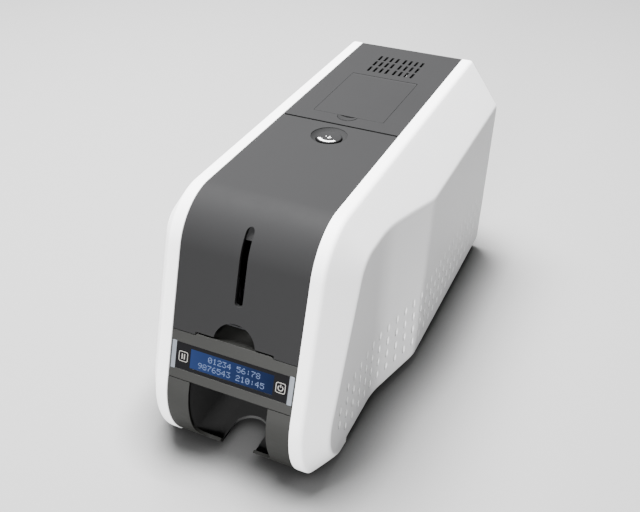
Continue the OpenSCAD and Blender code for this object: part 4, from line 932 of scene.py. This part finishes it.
def dentScoop():
    # a half-moon scoop that falls from its curved front edge to the front edge of the hatch
    r, y, n, m = hatch["dent"] - 0.2, hatch["y0"] + hatch["line"], 40, 10
    verts = []
    for k in range(n + 1):
        a = math.pi + math.pi * k / n
        for j in range(m + 1):
            f = 1 - j / m
            drop = 0.12 + hatch["dentDepth"] * (1 - f * f)
            verts.append((r * f * math.cos(a), y + r * f * math.sin(a), topSkin - drop))
    obj = thicken(makeObject("dentScoop", verts, gridFaces(n + 1, m + 1)), 0.6, 0)
    return shade(tidyNormals(obj), 40)


settle(rearCoverPiece(), "chassis", "dark_cover", "rear_top_cover")
seat = [box("hatchLedge", (-hatch["w"] / 2, hatch["y0"] - 0.5, topUnder - 1),
            (hatch["w"] / 2, hatch["y0"] + 3, topUnder + 0.2))]
for x in (-hatch["lugX"], hatch["lugX"]):
    seat.append(box("hatchLug", (x - 1.5, hatch["pivotY"] - 4, topUnder - 3),
                    (x + 1.5, hatch["pivotY"] + 4, topUnder + 0.1)))
settle(soften(joined("hatchSeat", seat), 0.25, 2), "chassis", "dark_cover")


def hatchPiece():
    g = hatch["gap"]
    y0, y1 = hatch["y0"] + g, hatch["y1"] - 2
    outline = roundRect(0, (y0 + y1) / 2, hatch["w"] - 2 * g, y1 - y0, 1.0)
    panel = plate("hatchPanel", outline, [], topSkin - 2.0, topSkin, 0.2)
    y, z = hatch["pivotY"], topSkin - hatch["pivotDrop"]
    rod = prism("hatchRod", circle(y, z, hatch["rod"], 40), "x", -hatch["rodX"], hatch["rodX"])
    pin = prism("hatchPin", circle(y, z, hatch["pin"], 24), "x", -hatch["pinX"], hatch["pinX"])
    return joined("hatchPanel", [panel, soften(rod, 0.3, 2, 40), shade(pin)])


settle(hatchPiece(), "hatch", "dark_cover", "top_hatch")
print("stage: dark covers")

# display band

band = {
    "mid": 94.4 + 8.9 + 10.45, "windowW": 89.8, "windowH": 20.9, "lcdW": 66.8, "lcdH": 15.1,
    "stripW": 3.5, "stripH": 21.9, "keyX": 39.1, "keyW": 8.0, "keyH": 8.6,
    "shelfX": 29.4, "shelfBack": -152.6, "shelfWall": 1.9,
    # depths below the front face
    "windowDepth": 0.3, "lcdDepth": 0.5, "dotDepth": 0.46, "keyDepth": 0.35, "iconDepth": 0.32,
}
band["keyS"] = band["mid"] + 0.15
band["stripX"] = band["windowW"] / 2 + 0.3 + band["stripW"] / 2


def bandPiece():
    # outline in the plane of the front, measured from the window's middle
    low = band["mid"] - (body["bandTop"] + body["bandHeight"] - body["gap"] / 2)
    high = band["mid"] - (body["bandTop"] + body["gap"] / 2)
    top = band["mid"] - (body["bandTop"] - opening["tongueRise"])
    w, t = body["cover"], opening["tongue"] / 2
    outer = [(-w, low), (w, low), (w, high), (t + 0.5, high), (t - 0.8, top),
             (0.8 - t, top), (-t - 0.5, high), (-w, high)]
    holes = [roundRect(0, 0, band["windowW"] + 0.2, band["windowH"] + 0.2, 0.45)]
    for side in (-1, 1):
        holes.append(roundRect(side * band["stripX"], 0, band["stripW"] + 0.2, band["stripH"] + 0.2, 0.6))
    obj = plate("displayBand", outer, holes, -body["wall"], 0, 0.22)
    moved(obj, onFront(0, band["mid"], body["skin"]))
    ledge = frontPt(body["bandTop"] - opening["tongueRise"] + 0.5, body["skin"] + 1.2)
    y, z, back = ledge[0], ledge[1], band["shelfBack"]
    low = z - band["shelfWall"]
    shelf = prism("shelf", [(y, z), (back, z), (back, low), (y + 1, low)], "x", -band["shelfX"], band["shelfX"])
    return joined("displayBand", [obj, soften(shelf, 0.3, 2)])


settle(bandPiece(), "chassis", "band_plastic", "display_band")


def windowPiece():
    holes = [roundRect(0, 0, band["lcdW"], band["lcdH"], 0.3)]
    for side in (-1, 1):
        holes.append(roundRect(side * band["keyX"], band["mid"] - band["keyS"],
                               band["keyW"] + 0.5, band["keyH"] + 0.5, 1.6))
    outer = roundRect(0, 0, band["windowW"], band["windowH"], 0.4)
    return plate("displayWindow", outer, holes, 0.3 - body["wall"], 0, 0.12)


def onBand(obj, depth):
    return moved(obj, onFront(0, band["mid"], body["skin"] + depth))


settle(onBand(windowPiece(), band["windowDepth"]), "chassis", "window_black", "display_window")

lcd = plate("lcdPanel", roundRect(0, 0, band["lcdW"] - 0.1, band["lcdH"] - 0.1, 0.25), [], -2.6, 0, 0.1)
settle(onBand(lcd, band["lcdDepth"]), "chassis", "lcd_glass", "lcd_module")
board = {"w": 87, "h": 18.6, "holeX": 40.5, "holeY": 6.3, "hole": 2.6, "depth": body["wall"] + 2.0}
boardHoles = [roundRect(sx * board["holeX"], sy * board["holeY"], board["hole"], board["hole"], 1.2)
              for sx in (-1, 1) for sy in (-1, 1)]
lcdBoard = plate("lcdBoard", roundRect(0, 0, board["w"], board["h"], 1.0), boardHoles, -1.9, 0, 0.15)
settle(onBand(lcdBoard, board["depth"]), "chassis", "board_green")

digits = {
    "0": "01110 10001 10011 10101 11001 10001 01110", "1": "00100 01100 00100 00100 00100 00100 01110",
    "2": "01110 10001 00001 00110 01000 10000 11111", "3": "11111 00010 00100 00010 00001 10001 01110",
    "4": "00010 00110 01010 10010 11111 00010 00010", "5": "11111 10000 11110 00001 00001 10001 01110",
    "6": "00110 01000 10000 11110 10001 10001 01110", "7": "11111 00001 00010 00100 01000 01000 01000",
    "8": "01110 10001 10001 01110 10001 10001 01110", "9": "01110 10001 10001 01111 00001 00010 01100",
    " ": "00000 00000 00000 00000 00000 00000 00000", ":": "00000 00100 00100 00000 00100 00100 00000",
}
message = {
    "lines": ("   01234 56:78  ", " 9876543 210:45 "),
    "dot": 0.56, "pitch": 0.64, "cell": 3.85, "rowGap": 6.6,
}


def rectPts(x0, y0, x1, y1, z=0):
    return [(x0, y0, z), (x1, y0, z), (x1, y1, z), (x0, y1, z)]


def lcdCharacters():
    verts, faces = [], []
    for row, text in enumerate(message["lines"]):
        for col, char in enumerate(text):
            bits = digits[char].split()
            for j in range(7):
                for i in range(5):
                    if bits[j][i] == "0":
                        continue
                    x = (col - 7.5) * message["cell"] + (i - 2) * message["pitch"]
                    y = (0.5 - row) * message["rowGap"] + (3 - j) * message["pitch"]
                    h = message["dot"] / 2
                    base = len(verts)
                    verts += rectPts(x - h, y - h, x + h, y + h)
                    faces.append([base, base + 1, base + 2, base + 3])
    return onBand(makeObject("lcdCharacters", verts, faces), band["dotDepth"])


settle(lcdCharacters(), "chassis", "lcd_glass", material=slotLooks["lcd_dots"])

strips = [moved(plate("strip", roundRect(0, 0, band["stripW"], band["stripH"], 0.55), [], -4.0, 0.1, 0.3),
                onFront(side * band["stripX"], band["mid"], body["skin"])) for side in (-1, 1)]
settle(joined("lightStrips", strips), "chassis", "light_lens", "light_strips")


def keyPiece(name, side):
    return moved(plate(name, roundRect(0, 0, band["keyW"], band["keyH"], 1.4), [], -3.3, 0, 0.25),
                 onFront(side * band["keyX"], band["keyS"], body["skin"] + band["keyDepth"]))


for side, name in ((-1, "pause"), (1, "power")):
    settle(keyPiece(name + "Key", side), name, "key_black", name + "_key")


icons = {
    "w": 7.6, "h": 8.1, "innerW": 6.5, "innerH": 7.0, "barX": 0.95, "barHalf": 0.42, "barH": 2.1,
    "ringFrom": 125, "ringTo": 415, "ringIn": 1.55, "ringOut": 2.2, "ringDrop": 0.2, "stem": 0.32,
}


def frameLine():
    outer = roundRect(0, 0, icons["w"], icons["h"], 1.5)
    inner = roundRect(0, 0, icons["innerW"], icons["innerH"], 1.0)
    n = len(outer)
    faces = [[i, (i + 1) % n, n + (i + 1) % n, n + i] for i in range(n)]
    return makeObject("frameLine", [(*p, 0.0) for p in outer + inner], faces)


def faceUp(bm):
    for face in bm.faces:
        if face.normal.z < 0:
            face.normal_flip()


def icon(name, side):
    parts = [frameLine()]
    if side < 0:
        for x in (-icons["barX"], icons["barX"]):
            bar = rectPts(x - icons["barHalf"], -icons["barH"], x + icons["barHalf"], icons["barH"])
            parts.append(makeObject("bar", bar, [[0, 1, 2, 3]]))
    else:
        a0, a1, n = math.radians(icons["ringFrom"]), math.radians(icons["ringTo"]), 30
        verts = []
        for k in range(n + 1):
            a = a0 + (a1 - a0) * k / n
            for r in (icons["ringIn"], icons["ringOut"]):
                verts.append((r * math.cos(a), r * math.sin(a) - icons["ringDrop"], 0))
        parts.append(makeObject("ring", verts, gridFaces(n + 1, 2)))
        parts.append(makeObject("stem", rectPts(-icons["stem"], 0.5, icons["stem"], 2.5), [[0, 1, 2, 3]]))
    out = edited(joined(name, parts), faceUp)
    return moved(out, onFront(side * band["keyX"], band["keyS"], body["skin"] + band["iconDepth"]))


for side, name in ((-1, "pause"), (1, "power")):
    settle(icon(name + "Icon", side), name, "key_black", material=slotLooks["icon_white"])
print("stage: display band")

# lower bezel and pocket

pocket = {
    "w": 63.6, "r": 12.0, "lip": 9.5, "back": -97.0, "top": 67.0, "finger": 28.0, "fingerBack": -142.0,
    "bezelBack": -162.0, "fillet": 13.0, "corner": 18.0, "open": 50.0, "floor": 8.1, "wall": 2.2,
    "mouthSkin": 1.1, "lipClear": 2.5, "wallClear": 0.4, "mouthLow": 4.2,
}


def bezelPiece():
    s0 = body["bandTop"] + body["bandHeight"] + body["gap"] / 2
    d = body["skin"]
    w, r, lip, half = pocket["w"] / 2, pocket["r"], pocket["lip"], pocket["finger"] / 2
    arc = [math.pi / 2 * k / 12 for k in range(13)]
    outerX = [body["cover"] - (body["cover"] - w) * k / 6 for k in range(6)]
    lipX = [w - r + r * math.cos(a) for a in arc] + [w - r - (w - r - half) * k / 3 for k in range(1, 4)]
    lipZ = [lip + r - r * math.sin(a) for a in arc] + [lip] * 3
    cornerA, endA = toeEnd(d, lip + r), toeEnd(d, body["floor"] + d)
    upper = [body["lean"] + (cornerA - body["lean"]) * k / 16 for k in range(17)]
    parts = []
    for side in (-1, 1):
        verts, faces, index = [], [], {}
        for i, x in enumerate(outerX + lipX):
            startA = cornerA if i < len(outerX) else toeEnd(d, lipZ[i - len(outerX)])
            column = []
            if i <= len(outerX):
                column += [tuple(frontPt(s0, d))] + [tuple(toePt(d, a)) for a in upper[:-1]]
            else:
                column += [None] * 17
            column += [tuple(toePt(d, startA + (endA - startA) * k / 12)) for k in range(13)]
            column.append((pocket["bezelBack"], body["floor"] + d))
            for j, p in enumerate(column):
                if p:
                    index[i, j] = len(verts)
                    verts.append((side * x, p[0], p[1]))
        for (i, j) in index:
            quad = [(i, j), (i + 1, j), (i + 1, j + 1), (i, j + 1)]
            if all(q in index for q in quad):
                faces.append([index[q] for q in quad][::side])
        sheet = thicken(makeObject("lowerBezel", verts, faces), body["wall"], -1.0)
        parts.append(soften(sheet, 0.8, 4, 32))
    return joined("lowerBezel", parts)


settle(bezelPiece(), "chassis", "band_plastic", "lower_bezel")


def mouthBack(z):
    # where the pocket's side walls end in the bezel; low down they stay behind its lip
    clear = z > pocket["lip"] + pocket["lipClear"]
    d = body["skin"] + (pocket["mouthSkin"] if clear else body["wall"] + pocket["wallClear"])
    if z < toePt(d, body["lean"])[1]:
        return toePt(d, toeEnd(d, max(z, body["floor"] + pocket["mouthLow"])))[0]
    s = (body["top"] - z) / math.cos(body["lean"])
    return frontPt(s, 0)[0] + d / math.cos(body["lean"])


def pocketPiece():
    w, floorZ = pocket["w"] / 2, pocket["floor"]
    back, fillet, corner = pocket["back"], pocket["fillet"], pocket["corner"]
    top = pocket["top"] - 0.2
    levels = [floorZ + fillet * (1 - math.cos(math.pi / 2 * k / 14)) for k in range(15)]
    levels += list(np.linspace(levels[-1], top, 14)[1:])
    loops = []
    for z in levels:
        inset = fillet - math.sqrt(max(0.0, fillet ** 2 - max(0.0, floorZ + fillet - z) ** 2))
        r = corner - inset
        front = mouthBack(max(z, floorZ + 1.5))
        side = [(-w + inset, front + (back - corner - front) * k / 12) for k in range(13)]
        turn = [(-w + corner - r * math.cos(a), back - corner + r * math.sin(a))
                for a in [math.pi / 2 * k / 12 for k in range(1, 13)]]
        wallHalf = side + turn + [(-w + corner + (w - corner) * k / 4, back - inset) for k in range(1, 5)]
        loops.append([(x, y, z) for x, y in wallHalf] + [(-x, y, z) for x, y in wallHalf[-2::-1]])
    m = len(loops[0])
    verts = [p for loop in loops for p in loop]

    def inOpening(face):
        # the back wall is open above the chute
        pts = [verts[k] for k in face]
        atBack = all(p[1] > back - 0.3 and abs(p[0]) < w - corner + 0.5 for p in pts)
        return atBack and min(p[2] for p in pts) > pocket["open"]

    faces = [face for face in gridFaces(len(loops), m) if not inOpening(face)]
    bowl = weigh(thicken(makeObject("pocketBowl", verts, faces), pocket["wall"], -1.0), 45)
    half, cy = pocket["finger"] / 2, pocket["fingerBack"] - pocket["finger"] / 2
    front = mouthBack(floorZ + 1.5) + 2.0
    under = w - 1.0
    outline = [(under, front), (under, back - 3), (-under, back - 3), (-under, front), (-half, front)]
    outline += circle(0, cy, half, 40, math.pi, 0) + [(half, front)]
    slab = plate("pocketFloor", outline, [], floorZ - 2.4, floorZ + 0.06, 0.5, 4)
    return joined("outputPocket", [bowl, slab])


settle(pocketPiece(), "chassis", "pocket_plastic", "output_pocket")

foot = {
    "places": ((58, -118), (70, 140)),
    "profile": ((0, 5.0), (9.0, 5.0), (9.0, 1.6), (8.6, 0.6), (7.9, 0.0), (3.2, 0.0), (3.0, 0.35), (0, 0.35)),
}
feet = [lathe("foot", foot["profile"], (side * x, y), 48) for side in (-1, 1) for x, y in foot["places"]]
settle(joined("rubberFeet", feet), "chassis", "foot_rubber", "rubber_feet")
print("stage: lower front")

# camera, floor and light

view = {
    "lens": 47.29, "sensor": 36.0, "place": (0.236251, -0.552186, 0.492883),
    "right": (0.91131, 0.41169, 0.00475), "down": (0.23947, -0.52064, -0.8195),
    "forward": (-0.33491, 0.74796, -0.57305),
}
camera = bpy.data.cameras.new("camera")
camera.lens = view["lens"]
camera.sensor_width = view["sensor"]
camera.clip_start = 0.01
camera.clip_end = 50
camObj = linked("camera", camera)
down, forward = -Vector(view["down"]), -Vector(view["forward"])
camObj.matrix_world = Matrix([*zip(view["right"], down, forward, view["place"]), (0, 0, 0, 1)])
bpy.context.scene.camera = camObj

studio = {
    # the contact reach and power set a painted shadow on the floor: its colour darkens near the printer
    "floor": 0.18, "half": 6000, "drop": -0.2, "paintedShadowReach": 0.045, "paintedShadowPower": 2.1, "world": 0.16,
    # name, place, target, size, power
    "lights": (("keyLight", (-0.42, 0.3, 1.7), (0, 0, 0.1), 1.05, 360),
               ("fillLight", (0.15, -2.3, 0.6), (0, -0.1, 0.1), 0.6, 190)),
}
half = studio["half"]
floorMesh = makeObject("floor", rectPts(-half, -half, half, half, studio["drop"]), [[0, 1, 2, 3]])
floorMat, floorTree, floorBsdf = principled("floorWhite")
cloud = noise(floorTree, objectPlace(floorTree), Scale=3.0, Detail=3.0)
# painted shadow: an ambient occlusion node darkens the floor's colour near and under the printer, standing in
# for a deeper contact shadow
paintedShadowAO = node(floorTree, "ShaderNodeAmbientOcclusion", Distance=studio["paintedShadowReach"])
paintedShadowDepth = math2(floorTree, "POWER", paintedShadowAO.outputs["AO"], studio["paintedShadowPower"])
floorTone = plus(floorTree, 0.995, times(floorTree, cloud, 0.01))
floorColour = tinted(floorTree, (studio["floor"],) * 3, times(floorTree, floorTone, paintedShadowDepth))
floorTree.links.new(floorColour, floorBsdf.inputs["Base Color"])
floorBsdf.inputs["Roughness"].default_value = 0.9
floorMesh.data.materials.append(floorMat)

world = bpy.data.worlds.new("world")
world.use_nodes = True
world.node_tree.nodes["Background"].inputs["Color"].default_value = (1, 1, 1, 1)
world.node_tree.nodes["Background"].inputs["Strength"].default_value = studio["world"]
bpy.context.scene.world = world

for name, place, target, size, power in studio["lights"]:
    lamp = bpy.data.lights.new(name, "AREA")
    lamp.shape = "SQUARE"
    lamp.size = size
    lamp.energy = power
    lampObj = linked(name, lamp)
    lampObj.location = place
    lampObj.rotation_mode = "QUATERNION"
    lampObj.rotation_quaternion = (Vector(target) - Vector(place)).to_track_quat("-Z", "Y")
print("stage: camera and light")
